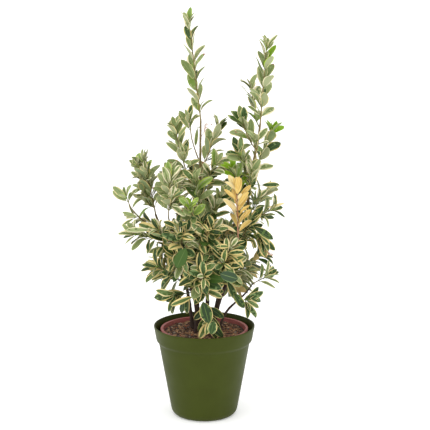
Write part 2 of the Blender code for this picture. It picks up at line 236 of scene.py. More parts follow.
def fissured_bark(name, old, young, change_from, change_to):
    """Bark that goes from old wood to young wood between two heights in millimetres."""
    material, tree, shader = new_finish(name, BARK_IOR)
    place = add_node(tree, "ShaderNodeTexCoord")
    stretch = add_node(tree, "ShaderNodeMapping", None, {
        "Vector": place.outputs["Object"], "Scale": (1.0, 1.0, FISSURE_STRETCH)})
    fissures = add_node(tree, "ShaderNodeTexNoise", None, {
        "Vector": stretch.outputs["Vector"], "Scale": 1 / (FISSURE_WIDTH * MM), "Detail": 4.0})
    patches = add_node(tree, "ShaderNodeTexNoise", None, {
        "Vector": place.outputs["Object"], "Scale": 1 / (PATCH_WIDTH * MM), "Detail": 2.0})
    axes = add_node(tree, "ShaderNodeSeparateXYZ", None, {"Vector": place.outputs["Object"]})
    wander = add_node(tree, "ShaderNodeMath", {"operation": "MULTIPLY_ADD"}, {
        0: patches.outputs["Fac"], 1: BORDER_WANDER * MM, 2: axes.outputs["Z"]})
    mean_wander = BORDER_WANDER / 2
    age = add_node(tree, "ShaderNodeMapRange", None, {
        "Value": wander.outputs[0],
        "From Min": (change_from + mean_wander) * MM, "From Max": (change_to + mean_wander) * MM})
    wood = add_node(tree, "ShaderNodeMix", {"data_type": "RGBA"}, {
        0: age.outputs["Result"], 6: linear(old), 7: linear(young)})
    crack = add_node(tree, "ShaderNodeMapRange", None, {
        "Value": fissures.outputs["Fac"], "From Min": 0.3, "From Max": 0.62, "To Min": 0.5, "To Max": 0.0})
    colour = add_node(tree, "ShaderNodeMix", {"data_type": "RGBA"}, {
        0: crack.outputs["Result"], 6: wood.outputs[2], 7: linear(CRACK_COLOUR)})
    rough = add_node(tree, "ShaderNodeMapRange", None, {
        "Value": fissures.outputs["Fac"], "To Min": 0.9, "To Max": 0.66})
    relief = add_node(tree, "ShaderNodeBump", None, {
        "Height": fissures.outputs["Fac"], "Strength": 0.6, "Distance": 0.5 * MM})
    fill_sockets(tree, shader, {
        "Base Color": colour.outputs[2],
        "Roughness": rough.outputs["Result"], "Normal": relief.outputs["Normal"]})
    return material


for name, bark_colours in BARKS.items():
    finishes[name] = fissured_bark(name, *bark_colours)
print("bark finishes:", len(finishes) - len(LEAF_COLOURS))

# %% [markdown]
# ## Joined meshes
#
# A thousand leaves as a thousand objects would be slow to draw and hard to use. Each kind of small
# thing is gathered into one long list of places and faces, and becomes one object at the end. A
# number on every face says which finish it takes.


# %% Gathering small things into one piece
class Gathered:
    """Many small things of one kind, which become one piece."""

    def __init__(self, name):
        self.name = name
        self.places = []
        self.faces = []
        self.paints = []
        self.finish_names = []
        self.sharp_edges = set()
        self.count = 0

    def paint(self, finish):
        """The number of a finish in this piece."""
        if finish not in self.finish_names:
            self.finish_names.append(finish)
        return self.finish_names.index(finish)

    def add(self, places, faces, finish, sharp=()):
        """Add one thing in millimetres. finish is one name, or a list with a name for each face."""
        start = self.count
        finish_of_face = [finish] * len(faces) if isinstance(finish, str) else finish
        self.places.append(np.asarray(places, float))
        self.faces.extend([tuple(k + start for k in face) for face in faces])
        self.paints.extend([self.paint(name) for name in finish_of_face])
        self.sharp_edges.update((a + start, b + start) for a, b in sharp)
        self.count += len(places)

    def make(self, slot, replaced=(), rounded=True):
        """Make the piece in metres. It rides on the body and stands for the replaced CAD nodes."""
        mesh = bpy.data.meshes.new(self.name)
        mesh.from_pydata((np.vstack(self.places) * MM).tolist(), [], self.faces)
        mesh.update(calc_edges=True)
        for finish in self.finish_names:
            mesh.materials.append(finishes[finish])
        mesh.polygons.foreach_set("material_index", self.paints)
        mesh.polygons.foreach_set("use_smooth", [rounded] * len(self.faces))
        if self.sharp_edges:
            ends = [tuple(sorted(edge.vertices)) for edge in mesh.edges]
            marks = mesh.attributes.new("sharp_edge", "BOOLEAN", "EDGE")
            marks.data.foreach_set("value", [pair in self.sharp_edges for pair in ends])
        piece = bpy.data.objects.new(self.name, mesh)
        bpy.context.scene.collection.objects.link(piece)
        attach(piece, "root")
        if replaced:
            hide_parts(*replaced)
        triangles = sum(len(face) - 2 for face in self.faces)
        print(f"{self.name}: {triangles} triangles, {len(self.finish_names)} finishes")


print("finishes to deal out:", len(finishes))

# %% [markdown]
# ## Directions
#
# Everything on a plant points somewhere, so three small functions serve the whole lesson: one
# shortens a vector to length one, one finds the direction that is square to another, and one
# swings from a first direction towards a second.


# %% Helpers for directions
def unit(vector):
    """A vector of length one."""
    vector = np.asarray(vector, float)
    return vector / max(np.linalg.norm(vector), 1e-9)


def square_to(vector, way):
    """The direction nearest to a vector that is square to a way of length one."""
    vector = np.asarray(vector, float)
    return unit(vector - (vector @ way) * way)


def swing(turn, first, second):
    """The first of two square directions, swung towards the second by an angle."""
    return math.cos(turn) * first + math.sin(turn) * second


print("up and across, square to up:", square_to((1, 0, 1), unit((0, 0, 1))))

# %% [markdown]
# ## Reading the frame
#
# A limb or a mass in the frame is only a mesh. Cutting it with a plane gives a ring of points,
# whose middle lies on the limb and whose spread gives its radius, so no size is copied by hand.

# %% Cutting a CAD node with a plane
node_meshes = {}


def read_node(node):
    """The places in millimetres and the edges of a CAD node."""
    if node not in node_meshes:
        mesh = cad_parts[node].data
        places = np.array([v.co for v in mesh.vertices]) / MM
        edges = np.array([e.vertices[:] for e in mesh.edges])
        node_meshes[node] = (places, edges)
    return node_meshes[node]


def cut(node, point, normal):
    """The places where a node's edges cross a plane."""
    places, edges = read_node(node)
    sides = (places - np.asarray(point)) @ np.asarray(normal)
    first = sides[edges[:, 0]]
    second = sides[edges[:, 1]]
    crossing = (first < 0) != (second < 0)
    share = (first[crossing] / (first[crossing] - second[crossing]))[:, None]
    start = places[edges[crossing, 0]]
    return start + share * (places[edges[crossing, 1]] - start)


print("edges cut half way up the cover pot:", len(cut("cover_pot", (0, 0, 100), (0, 0, 1))))

# %% [markdown]
# ## Lines
#
# A line is a row of places in millimetres. Twigs and middle lines are eased, so that they bend
# like wood, and spread out evenly, so that a distance along them can be looked up.


# %% Helpers for lines
def smooth(values, rounds=2):
    """Ease each value towards its neighbours, with both ends held."""
    values = np.array(values, float)
    for _ in range(rounds):
        values[1:-1] = (values[:-2] + 2 * values[1:-1] + values[2:]) / 4
    return values


def resample(line, spacing):
    """Evenly spaced places on a line, and how far along each is."""
    line = np.asarray(line, float)
    lengths = np.concatenate([[0], np.cumsum(np.linalg.norm(np.diff(line, axis=0), axis=1))])
    count = max(2, int(round(lengths[-1] / spacing)) + 1)
    along = np.linspace(0, lengths[-1], count)
    return np.stack([np.interp(along, lengths, line[:, axis]) for axis in range(3)], 1), along


def place_at(distance, along, line):
    """The place at a distance along a line."""
    return np.array([np.interp(distance, along, line[:, axis]) for axis in range(3)])


print("places on a 10 mm line, 2 mm apart:", len(resample([(0, 0, 0), (0, 0, 10)], 2.0)[0]))

# %% [markdown]
# ## Centre lines of the limbs
#
# Every stem and bough of this plant rises all the way, so level cuts follow it from foot to top.
# The middle of each cut is on the centre line. A level cut through a leaning limb is an oval, so
# the radius is measured square to the limb, near the outer side of the ring.

# %% Centre lines and radii of the limbs
END_MARGIN = 2.5
SLICE = 6.0
FEWEST_SLICES = 4
RADIUS_PERCENTILE = 75


def trace_limb(node):
    """Centre places and radii up a limb, from level cuts."""
    places = read_node(node)[0]
    low = places[:, 2].min() + END_MARGIN
    high = places[:, 2].max() - END_MARGIN
    heights = np.linspace(low, high, max(FEWEST_SLICES, int((high - low) / SLICE)))
    rings = [cut(node, (0, 0, height), (0, 0, 1)) for height in heights]
    centres = smooth([ring.mean(0) for ring in rings])
    radii = []
    for ring, centre, way in zip(rings, centres, np.gradient(centres, axis=0)):
        spread = ring - centre
        way = unit(way)
        across = spread - np.outer(spread @ way, way)
        radii.append(np.percentile(np.linalg.norm(across, axis=1), RADIUS_PERCENTILE))
    return centres, smooth(radii, 1)


limb_names = [name for name in sorted(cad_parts) if name.startswith(("stem_", "bough_"))]
limbs = {name: trace_limb(name) for name in limb_names}
for name in limb_names:
    print(f"{name}: radius {limbs[name][1][0]:.1f} to {limbs[name][1][-1]:.1f} mm")

# %% [markdown]
# ## Tubes
#
# Limbs, twigs, leaf stalks and buds are all tubes that follow a line. A curve with a bevel would
# make them too, but a mesh can carry relief and be joined to others. The ring at each step is
# turned as little as possible from the one before, so that the tube doesn't twist.

# %% A tube along a line
NEARLY_PARALLEL = 0.9


def ring_frames(line):
    """Two directions across the line at each place, turned as little as possible."""
    ways = np.gradient(line, axis=0)
    ways = ways / np.linalg.norm(ways, axis=1)[:, None]
    helper = (0, 1, 0) if abs(ways[0][1]) < NEARLY_PARALLEL else (1, 0, 0)
    first = unit(np.cross(ways[0], helper))
    frames = []
    for way in ways:
        first = square_to(first, way)
        frames.append((first, np.cross(way, first)))
    return frames


def tube(line, radii, sides, relief=None):
    """Places and faces of a closed tube. relief(step, side) scales the radius."""
    places = []
    for step, (centre, radius, (across, over)) in enumerate(zip(line, radii, ring_frames(line))):
        for side in range(sides):
            scale = relief(step, side) if relief else 1.0
            places.append(centre + radius * scale * swing(2 * math.pi * side / sides, across, over))
    faces = []
    for step in range(len(line) - 1):
        low = step * sides
        high = low + sides
        for side in range(sides):
            following = (side + 1) % sides
            faces.append((low + side, low + following, high + following, high + side))
    faces.append(tuple(reversed(range(sides))))
    top = (len(line) - 1) * sides
    faces.append(tuple(range(top, top + sides)))
    return places, faces


sample_line = np.array([(0, 0, 0), (0, 0, 5), (0, 0, 10)])
print("faces of a tube with 3 rings of 6:", len(tube(sample_line, (1, 1, 1), 6)[1]))

# %% [markdown]
# ## Stems and boughs
#
# Bark could be only a bump in the material, but its ridges show against the sky and stay in the
# mesh, so they are modelled: noise stretched along the stem moves each ring in and out,
# and a low swelling marks every old leaf scar. Heights are shares of the stem's radius.

# %% Bark relief
BARK_SIDES = 16
RIDGE_HEIGHT = 0.13
RIDGES_ROUND = 2.2
RIDGE_LENGTH = 16
LUMP_HEIGHT = 0.07
LUMP_LENGTH = 6
SCAR_HEIGHT = 0.1
SCAR_HALF = 1.6
SCAR_SPACING = 17.0


def bark_relief(name, along):
    """A function that gives the ridges and leaf scars of one limb."""
    shift = random.Random(name).uniform(0, 90)

    def relief(step, side):
        """How much the radius is scaled at one place."""
        turn = 2 * math.pi * side / BARK_SIDES
        x, y = math.cos(turn), math.sin(turn)
        ridge = noise.noise(Vector((RIDGES_ROUND * x + shift, RIDGES_ROUND * y, along[step] / RIDGE_LENGTH)))
        lump = noise.noise(Vector((x, y + shift, along[step] / LUMP_LENGTH)))
        from_scar = (along[step] + shift) % SCAR_SPACING - SCAR_SPACING / 2
        scar = math.exp(-((from_scar / SCAR_HALF) ** 2))
        return 1 + RIDGE_HEIGHT * ridge + LUMP_HEIGHT * lump + SCAR_HEIGHT * scar

    return relief


print("leaf scars on 100 mm of stem:", round(100 / SCAR_SPACING))

# %% [markdown]
# ## The bark mesh
#
# Each limb runs on a little past both ends of its CAD solid, so that its foot is in the soil and
# its top is inside the shoot that it carries. The yellow shoot has a pink stem of its own.

# %% Bark mesh
BARK_STEP = 2.0
SINK = 2.5
TOP_TAPER = 0.9

bark = Gathered("stems_bark")
limb_lines = {}
for name in limb_names:
    centres, radii = limbs[name]
    below = centres[0] - unit(centres[1] - centres[0]) * (END_MARGIN + SINK)
    above = centres[-1] + unit(centres[-1] - centres[-2]) * (END_MARGIN + SINK)
    line, along = resample(np.vstack([below, centres, above]), BARK_STEP)
    known = np.concatenate([radii[:1], radii, radii[-1:] * TOP_TAPER])
    sizes = np.interp(np.linspace(0, 1, len(line)), np.linspace(0, 1, len(known)), known)
    limb_lines[name] = line
    places, faces = tube(line, sizes, BARK_SIDES, bark_relief(name, along))
    bark.add(places, faces, "pink_young_bark" if name == "bough_yellow" else "old_stem_bark")
bark.make("bark", limb_names)

# %% [markdown]
# ## Kinds of leaf
#
# A euonymus leaf is a blunt oval with a short stalk. The variegated kinds have a dark middle, a
# grey-green zone beside it and a cream border of uneven width. Young ones are lime green, and one
# shoot of this plant has turned yellow. Each kind names the colours of its zones.

# %% Leaf kinds
# Each kind: middle, zone beside it, border, midrib and underside, then where the middle ends and
# where the border starts, as shares of the half width.
LEAF_KINDS = {
    "sage": ("sage", "pale_sage", "cream", "pale_sage", "sage", (0.45, 0.7), (0.82, 0.92)),
    "deep_sage": ("deep_sage", "sage", "cream", "sage", "sage", (0.45, 0.7), (0.78, 0.9)),
    "broad_cream": ("deep_sage", "pale_sage", "ivory", "sage", "sage", (0.25, 0.45), (0.5, 0.7)),
    "dark": ("dark_green", "grey_green", "butter", "moss_green", "green", (0.42, 0.66), (0.68, 0.82)),
    "deep": ("deep_green", "moss_green", "butter", "moss_green", "green", (0.5, 0.72), (0.74, 0.86)),
    "patchy": ("grey_green", "moss_green", "cream", "moss_green", "green", (0.3, 0.55), (0.6, 0.78)),
    "mostly_cream": ("moss_green", "grey_green", "butter", "grey_green", "yellow",
                     (0.14, 0.3), (0.32, 0.55)),
    "plain_green": ("plain_green", "plain_green", "plain_green", "moss_green", "green",
                    (0.4, 0.6), (0.8, 0.9)),
    "blue_green": ("blue_green", "blue_green", "grey_green", "grey_green", "green",
                   (0.4, 0.6), (0.82, 0.92)),
    "lime": ("lime", "lime", "pale_lime", "deep_lime", "green", (0.4, 0.6), (0.78, 0.9)),
    "young": ("young_green", "pale_sage", "pale_lime", "young_green", "sage", (0.4, 0.6), (0.72, 0.86)),
    "yellow": ("straw", "straw", "pale_yellow", "gold", "yellow", (0.4, 0.6), (0.7, 0.85)),
    "pale_yellow": ("pale_yellow", "pale_yellow", "ivory", "straw", "yellow", (0.4, 0.6), (0.7, 0.85)),
    "gold": ("gold", "straw", "straw", "pale_yellow", "yellow", (0.3, 0.55), (0.7, 0.85)),
}
print("kinds of leaf:", len(LEAF_KINDS))

# %% [markdown]
# ## Faces of a leaf
#
# The blade is a grid: eleven rows from foot to tip, each with eight points above and three below.
# The upper columns follow the borders of the colour zones, so plain colours give a crisp wandering
# edge with no texture at all. The underside is its own paler skin, half a millimetre below. The
# edges along the two rims are marked sharp, or the shading would smear over the thin edge.

# %% Leaf faces and zones
LEAF_ROWS = 11
TOP_COLUMNS = 8
UNDER_COLUMNS = 3
ROW_POINTS = TOP_COLUMNS + UNDER_COLUMNS
MIDDLE, BESIDE, BORDER, MIDRIB, UNDER = range(5)
TOP_ZONES = (BORDER, BESIDE, MIDDLE, MIDRIB, MIDDLE, BESIDE, BORDER)
UNDER_ORDER = (7, 10, 9, 8, 0)
UNDER_ZONES = (BORDER, UNDER, UNDER, BORDER)
END_LOOP = (0, 1, 2, 3, 4, 5, 6, 7, 10, 9, 8)


def leaf_topology():
    """The faces of every leaf, the zone of each face, and the edges along the rims."""
    faces = []
    zones = []
    rims = []
    for row in range(LEAF_ROWS - 1):
        near = row * ROW_POINTS
        far = near + ROW_POINTS
        for column, zone in enumerate(TOP_ZONES):
            faces.append((near + column, near + column + 1, far + column + 1, far + column))
            zones.append(zone)
        for a, b, zone in zip(UNDER_ORDER, UNDER_ORDER[1:], UNDER_ZONES):
            faces.append((near + a, near + b, far + b, far + a))
            zones.append(zone)
        rims += [(near + column, far + column) for column in (0, TOP_COLUMNS - 1)]
    faces.append(tuple(reversed(END_LOOP)))
    zones.append(MIDRIB)
    last = (LEAF_ROWS - 1) * ROW_POINTS
    faces.append(tuple(last + k for k in END_LOOP))
    zones.append(BORDER)
    return faces, zones, rims


LEAF_FACES, LEAF_ZONES, LEAF_RIMS = leaf_topology()
print("triangles in a leaf:", sum(len(face) - 2 for face in LEAF_FACES))

# %% [markdown]
# ## Outline and bend of a leaf
#
# The outline is a power curve that is blunt at the foot and at the tip. The blade folds up along
# its midrib, opens out again towards its tip, curls back, twists a little and has a soft ripple
# along its edges. Every row moves its borders a little from those of the row before.

# %% Leaf outline
ROW_CROWDING = 0.92
FOOT_TAPER = 0.74
TIP_TAPER = 0.66
LEAST_WIDTH = 0.05
LEAF_SHARES = np.linspace(0, 1, LEAF_ROWS) ** ROW_CROWDING
LEAF_OUTLINE = LEAF_SHARES ** FOOT_TAPER * (1 - LEAF_SHARES) ** TIP_TAPER
LEAF_OUTLINE = np.maximum(LEAF_OUTLINE / LEAF_OUTLINE.max(), LEAST_WIDTH)
print("widest at a share of the length:", round(LEAF_SHARES[LEAF_OUTLINE.argmax()], 2))

# %% [markdown]
# ## One row of a leaf
#
# Borders and points are shares of the half width, so they widen and narrow with the leaf. The
# right half draws its own borders, because no euonymus leaf is the same on both sides.

# %% Leaf rows
MIDRIB_SHARE = 0.06
UNDER_SHARES = [-0.8, 0, 0.8]
RIGHT_INNER = (0.85, 1.1)
RIGHT_OUTER = (0.95, 1.03)
LEAST_ZONE = 0.04
INNER_WANDER = 0.09
OUTER_WANDER = 0.07
LEAST_INNER = 0.12
INNER_GAP = 0.05
LEAST_BAND = 0.08
MOST_OUTER = 0.95


def next_borders(inner, outer, outer_start, rng):
    """The two borders of the next row, kept in their order and inside the leaf."""
    inner = max(inner + rng.uniform(-INNER_WANDER, INNER_WANDER), LEAST_INNER)
    inner = min(inner, outer_start - INNER_GAP)
    outer = max(outer + rng.uniform(-OUTER_WANDER, OUTER_WANDER), inner + LEAST_BAND)
    return inner, min(outer, MOST_OUTER)


def row_columns(inner, outer, rng):
    """Where the points of a row stand: eight above from left to right, then three below."""
    right_inner = inner * rng.uniform(*RIGHT_INNER)
    right_outer = outer * rng.uniform(*RIGHT_OUTER)
    right_inner = min(right_inner, right_outer - LEAST_ZONE)
    above = [-1, -outer, -inner, -MIDRIB_SHARE, MIDRIB_SHARE, right_inner, right_outer, 1]
    return np.array(above + UNDER_SHARES)


print("points in a row:", len(row_columns(0.5, 0.8, random.Random(0))))

# %% [markdown]
# ## The grid of a leaf
#
# The rows are laid out along a curling line and folded, rippled and twisted one by one. The
# underside is thin at the foot, where the blade grows out of its stalk.

# %% Leaf grid
LEAF_THICKNESS = 0.5
UNDER_DEPTHS = np.array([0.5, 1.0, 0.5])
FOOT_THICKNESS = 0.3
THICKENING = 3
CURL_POWER = 1.2
WIDTH_WANDER = (0.97, 1.03)
OPENING = 0.45
CUPPING = 0.16
RIPPLE_HEIGHT = 0.07
RIPPLE_TURN = 8
RIPPLE_STARTS = (0, 6.28)


def turn_pair(first, second, angle):
    """Two coordinates, turned by an angle."""
    return (first * math.cos(angle) - second * math.sin(angle),
            first * math.sin(angle) + second * math.cos(angle))


def leaf_places(length, width, fold, curl, twist, inner, outer, rng):
    """A leaf along +Y with its upper side to +Z, in millimetres."""
    bend = curl * LEAF_SHARES ** CURL_POWER
    steps = np.diff(LEAF_SHARES, prepend=0) * length
    ahead = np.cumsum(steps * np.cos(bend))
    drop = -np.cumsum(steps * np.sin(bend))
    ripple = rng.uniform(*RIPPLE_STARTS)
    outer_start = outer
    rows = []
    for k, share in enumerate(LEAF_SHARES):
        half = width / 2 * LEAF_OUTLINE[k] * rng.uniform(*WIDTH_WANDER)
        inner, outer = next_borders(inner, outer, outer_start, rng)
        columns = row_columns(inner, outer, rng)
        folded = fold * (1 - OPENING * share)
        up = half * (np.abs(columns) * math.sin(folded) - CUPPING * columns ** 2)
        up += half * RIPPLE_HEIGHT * np.abs(columns) * math.sin(ripple + RIPPLE_TURN * share)
        up[TOP_COLUMNS:] -= LEAF_THICKNESS * UNDER_DEPTHS * min(1, FOOT_THICKNESS + THICKENING * share)
        across, raised = turn_pair(half * columns * math.cos(folded), up, twist * share)
        rows.append(np.stack([
            across, ahead[k] + raised * math.sin(bend[k]), drop[k] + raised * math.cos(bend[k])], 1))
    return np.vstack(rows)


print("points in a leaf:", LEAF_ROWS * ROW_POINTS)

# %% [markdown]
# ## One leaf in its place
#
# A leaf is turned so that its length follows a given way and its upper side looks as nearly as it
# can towards another. A few faces take the colour of the zone beside them, as flecks, and some
# pale leaves have a reddish tip.

# %% Adding a leaf
TWIST = 0.25
BESIDE_FLECKS = 0.16
MIDDLE_FLECKS = 0.08
RED_TIP_START = (LEAF_ROWS - 2) * (len(TOP_ZONES) + len(UNDER_ZONES))


def add_leaf(piece, kind, foot, way, face_way, length, width, fold, curl, rng, red_tip=False):
    """Grow one leaf from its foot along a direction, with its upper side towards face_way."""
    way = unit(way)
    normal = square_to(face_way, way)
    *upper_words, under_word, inner, outer = LEAF_KINDS[kind]
    zone_finish = ["cuticle_" + word for word in upper_words] + ["underside_" + under_word]
    grid = leaf_places(length, width, fold, curl, rng.uniform(-TWIST, TWIST),
                       rng.uniform(*inner), rng.uniform(*outer), rng)
    across, along, up = (grid[:, axis] for axis in range(3))
    places = foot + np.outer(across, np.cross(way, normal)) + np.outer(along, way) + np.outer(up, normal)
    chosen = []
    for k, zone in enumerate(LEAF_ZONES):
        finish = zone_finish[zone]
        if zone == BESIDE and rng.random() < BESIDE_FLECKS:
            finish = zone_finish[MIDDLE]
        if zone == MIDDLE and rng.random() < MIDDLE_FLECKS:
            finish = zone_finish[BESIDE]
        if red_tip and k >= RED_TIP_START and zone != UNDER:
            finish = "cuticle_red_tip"
        chosen.append(finish)
    piece.add(places, LEAF_FACES, chosen, LEAF_RIMS)


print("faces in the last row of a leaf:", len(LEAF_FACES) - 2 - RED_TIP_START)

# %% [markdown]
# ## How a spray grows
#
# Euonymus leaves stand in opposite pairs, and each pair is turned a quarter from the one below. At
# the top of every twig the youngest pairs are folded together round a bud. A habit says how long
# the leaves of a spray are, how far apart the pairs stand, at what angle they leave the twig at
# its foot and top, and in what shares the leaf kinds are dealt. Lengths are in millimetres.

# %% Habits of growth
# Widths are shares of the length, folds are in degrees, and axil is the chance of a small leaf.
HABITS = {
    "leader": dict(leaf=42, internode=21, low_angle=36, high_angle=15, side_twigs=0, axil=0.8, droop=0.0,
                   width=(0.4, 0.52), fold=(16, 40), scatter=0.1, tip_pairs=3,
                   kinds={"sage": 4, "deep_sage": 2, "broad_cream": 3, "young": 1, "lime": 0.6,
                          "dark": 1.5}),
    "upper": dict(leaf=42, internode=11.5, low_angle=50, high_angle=17, side_twigs=6, axil=0.5, droop=0.0,
                  width=(0.38, 0.5), fold=(18, 44), scatter=0.14, tip_pairs=2,
                  kinds={"sage": 5, "deep_sage": 3, "broad_cream": 4, "young": 0.6, "patchy": 1, "dark": 2}),
    "slender": dict(leaf=40, internode=15, low_angle=40, high_angle=16, side_twigs=1, axil=0.5, droop=0.0,
                    width=(0.36, 0.48), fold=(18, 44), scatter=0.12, tip_pairs=3,
                    kinds={"sage": 5, "deep_sage": 3, "broad_cream": 4, "young": 0.6, "dark": 2.5}),
    "arm": dict(leaf=40, internode=11, low_angle=58, high_angle=22, side_twigs=2, axil=0.4, droop=0.06,
                width=(0.32, 0.44), fold=(18, 46), scatter=0.16, tip_pairs=2,
                kinds={"dark": 4, "patchy": 2, "broad_cream": 4, "deep": 1, "sage": 2}),
    "body": dict(leaf=46, internode=10.5, low_angle=70, high_angle=28, side_twigs=7, axil=0.45, droop=0.12,
                 width=(0.36, 0.5), fold=(18, 50), scatter=0.26, tip_pairs=2,
                 kinds={"dark": 5, "deep": 4, "patchy": 2, "mostly_cream": 2.5, "broad_cream": 2,
                        "plain_green": 0.3, "sage": 0.8}),
    "hang": dict(leaf=48, internode=13, low_angle=50, high_angle=25, side_twigs=1, axil=0.2, droop=0.5,
                 width=(0.4, 0.5), fold=(16, 40), scatter=0.16, tip_pairs=2,
                 kinds={"dark": 4, "deep": 4, "patchy": 1, "mostly_cream": 1.5}),
    "yellow": dict(leaf=42, internode=12, low_angle=50, high_angle=18, side_twigs=3, axil=0.5, droop=0.0,
                   width=(0.32, 0.42), fold=(24, 50), scatter=0.16, tip_pairs=3,
                   kinds={"yellow": 3, "gold": 1.5, "pale_yellow": 3}),
    "young": dict(leaf=38, internode=12, low_angle=48, high_angle=18, side_twigs=3, axil=0.4, droop=0.0,
                  width=(0.36, 0.46), fold=(18, 40), scatter=0.14, tip_pairs=2,
                  kinds={"lime": 1.2, "young": 4, "sage": 4, "deep_sage": 1}),
}
# Shoots whose top leaves are of other kinds than the leaves below them.
TIP_KINDS = {
    "foliage_young_green": {"lime": 3, "young": 2},
    "foliage_right_side": {"lime": 1},
    "foliage_right_buds": {"young": 2, "deep_sage": 2, "plain_green": 1},
}
print("habits:", ", ".join(HABITS))

# %% [markdown]
# ## Which mass grows how
#
# Each plain mass of the frame has one row: the limb that it grows from, and its habit. The shoots
# at the top are open and grey-green, those in the middle are denser, and those below are dark
# with a butter-coloured border.

# %% Sprays
SPRAYS = {
    "foliage_left_leader": ("stem_left_leader", "leader"),
    "foliage_left_inner": ("bough_left_inner", "slender"),
    "foliage_left_upper": ("bough_left_upper", "slender"),
    "foliage_mid_upper": ("stem_left_leader", "slender"),
    "foliage_mid_right": ("stem_left_leader", "upper"),
    "foliage_left_outer": ("stem_left", "upper"),
    "foliage_left_tip": ("bough_left_tip", "upper"),
    "foliage_left_arm": ("stem_left", "arm"),
    "foliage_left_mid": ("bough_left_mid", "upper"),
    "foliage_left_arm_low": ("stem_left", "arm"),
    "foliage_centre_upper": ("stem_left_leader", "upper"),
    "foliage_centre_young": ("stem_left_leader", "young"),
    "foliage_centre_right": ("stem_left_leader", "upper"),
    "foliage_centre_back": ("stem_centre", "upper"),
    "foliage_body_left": ("stem_left", "body"),
    "foliage_body_left_low": ("stem_left", "body"),
    "foliage_body_centre_left": ("stem_left", "body"),
    "foliage_body_centre": ("stem_left_leader", "body"),
    "foliage_body_right": ("stem_right_leader", "body"),
    "foliage_front_centre": ("stem_left_leader", "body"),
    "foliage_low_left": ("stem_left", "hang"),
    "foliage_front_skirt": ("stem_left_leader", "hang"),
    "foliage_right_leader": ("stem_right_leader", "leader"),
    "foliage_right_inner": ("stem_right_leader", "leader"),
    "foliage_right_buds": ("stem_right_leader", "upper"),
    "foliage_right_upper": ("stem_right_leader", "upper"),
    "foliage_right_side": ("stem_right_leader", "leader"),
    "foliage_right_mid_left": ("stem_right_leader", "upper"),
    "foliage_right_mid": ("stem_right_leader", "upper"),
    "foliage_right_outer": ("stem_right_leader", "upper"),
    "foliage_right_arm": ("stem_right_leader", "arm"),
    "foliage_young_green": ("stem_right_leader", "young"),
    "foliage_yellow": ("bough_yellow", "yellow"),
    "foliage_right_body": ("stem_right_leader", "body"),
    "foliage_right_droop": ("stem_right_leader", "hang"),
    "foliage_low_right": ("stem_right_leader", "body"),
    "foliage_low_right_tip": ("stem_low_right", "arm"),
    "foliage_low_right_hang": ("stem_low_right", "hang"),
    "foliage_back_left_low": ("stem_back_left", "body"),
    "foliage_back_left": ("stem_back_left", "body"),
    "foliage_back_left_top": ("stem_back_left", "upper"),
    "foliage_back_centre": ("stem_centre", "body"),
    "foliage_back_right_low": ("stem_back_right", "body"),
    "foliage_back_right": ("stem_back_right", "body"),
    "foliage_back_right_top": ("stem_back_right", "upper"),
}
print("sprays:", len(SPRAYS))

# %% [markdown]
# ## From a plain mass to a shoot
#
# The foot of a mass is its point nearest to its limb, and its tip is the point farthest from that
# foot. Cuts between the two give the middle line, which the main twig follows, and the local
# radius, which no leaf may pass by far. So the crown keeps the outline and the gaps of the frame.

# %% Middle line and room of a mass
CUT_SHARES = (0.15, 0.3, 0.45, 0.6, 0.75, 0.88)
MIDDLE_STEP = 4.0
MIDDLE_EASING = 4


def read_mass(node, carrier):
    """The line from the limb to the tip of a mass, and its radius at shares of that line."""
    places = read_node(node)[0]
    centres = limb_lines[carrier]
    gaps = np.linalg.norm(places[:, None, :] - centres[None, :, :], axis=2)
    nearest, on_limb = np.unravel_index(gaps.argmin(), gaps.shape)
    foot = places[nearest]
    tip = places[np.linalg.norm(places - foot, axis=1).argmax()]
    way = unit(tip - foot)
    length = np.linalg.norm(tip - foot)
    middles = []
    rooms = []
    for share in CUT_SHARES:
        ring = cut(node, foot + way * length * share, way)
        if len(ring) > 2:
            middles.append(ring.mean(0))
            rooms.append(np.linalg.norm(ring - ring.mean(0), axis=1).mean())
    line, along = resample(np.vstack([centres[on_limb], middles, tip]), MIDDLE_STEP)
    return smooth(line, MIDDLE_EASING), along, np.array(rooms)


leader_rooms = read_mass("foliage_left_leader", "stem_left_leader")[2]
print("radii up the top of the left leader in mm:", leader_rooms.round(1))

# %% [markdown]
# ## Light on a leaf
#
# Leaves turn outwards and upwards, away from the shade inside the crown. On this plant those in
# front also turn a little towards the viewer, so that most of them show their upper side.

# %% Towards the light
CROWN_AXIS = np.array([15.0, 10.0])
BACK_SPRAYS_FROM = 55.0
OUTWARD_PULL = 0.6
FRONT_PULL = np.array([0, -0.6, 0.5])
BACK_PULL = np.array([0, 0.3, 0.5])


def towards_light(place):
    """The way that a leaf at a place turns its upper side."""
    out = np.array([place[0] - CROWN_AXIS[0], place[1] - CROWN_AXIS[1], 0.0])
    return unit(unit(out) * OUTWARD_PULL + (FRONT_PULL if place[1] < BACK_SPRAYS_FROM else BACK_PULL))


print("light on a leaf at the front:", towards_light((15, -90, 400)).round(2))

# %% [markdown]
# ## Twigs, stalks and buds
#
# Twigs and leaf stalks are thin tubes, and a bud is a tube that swells and closes. They are green
# or tan, and pink on the yellow shoot. Each kind is gathered into a piece of its own.

# %% Small tubes
TWIG_SIDES = 6
TWIG_STEP = 5.0
STALK_SIDES = 5
STALK_LENGTH = 4.0
STALK_RADII = (0.75, 0.6, 0.7)
STALK_SAG = np.array([0, 0, 0.4])
BUD_SHARES = np.array([0, 0.25, 0.55, 0.85, 1.0])
BUD_RADII = np.array([0.16, 0.26, 0.22, 0.1, 0.02])

twigs = Gathered("twigs")
stalks = Gathered("leaf_stalks")
buds = Gathered("buds")
twig_lines = []


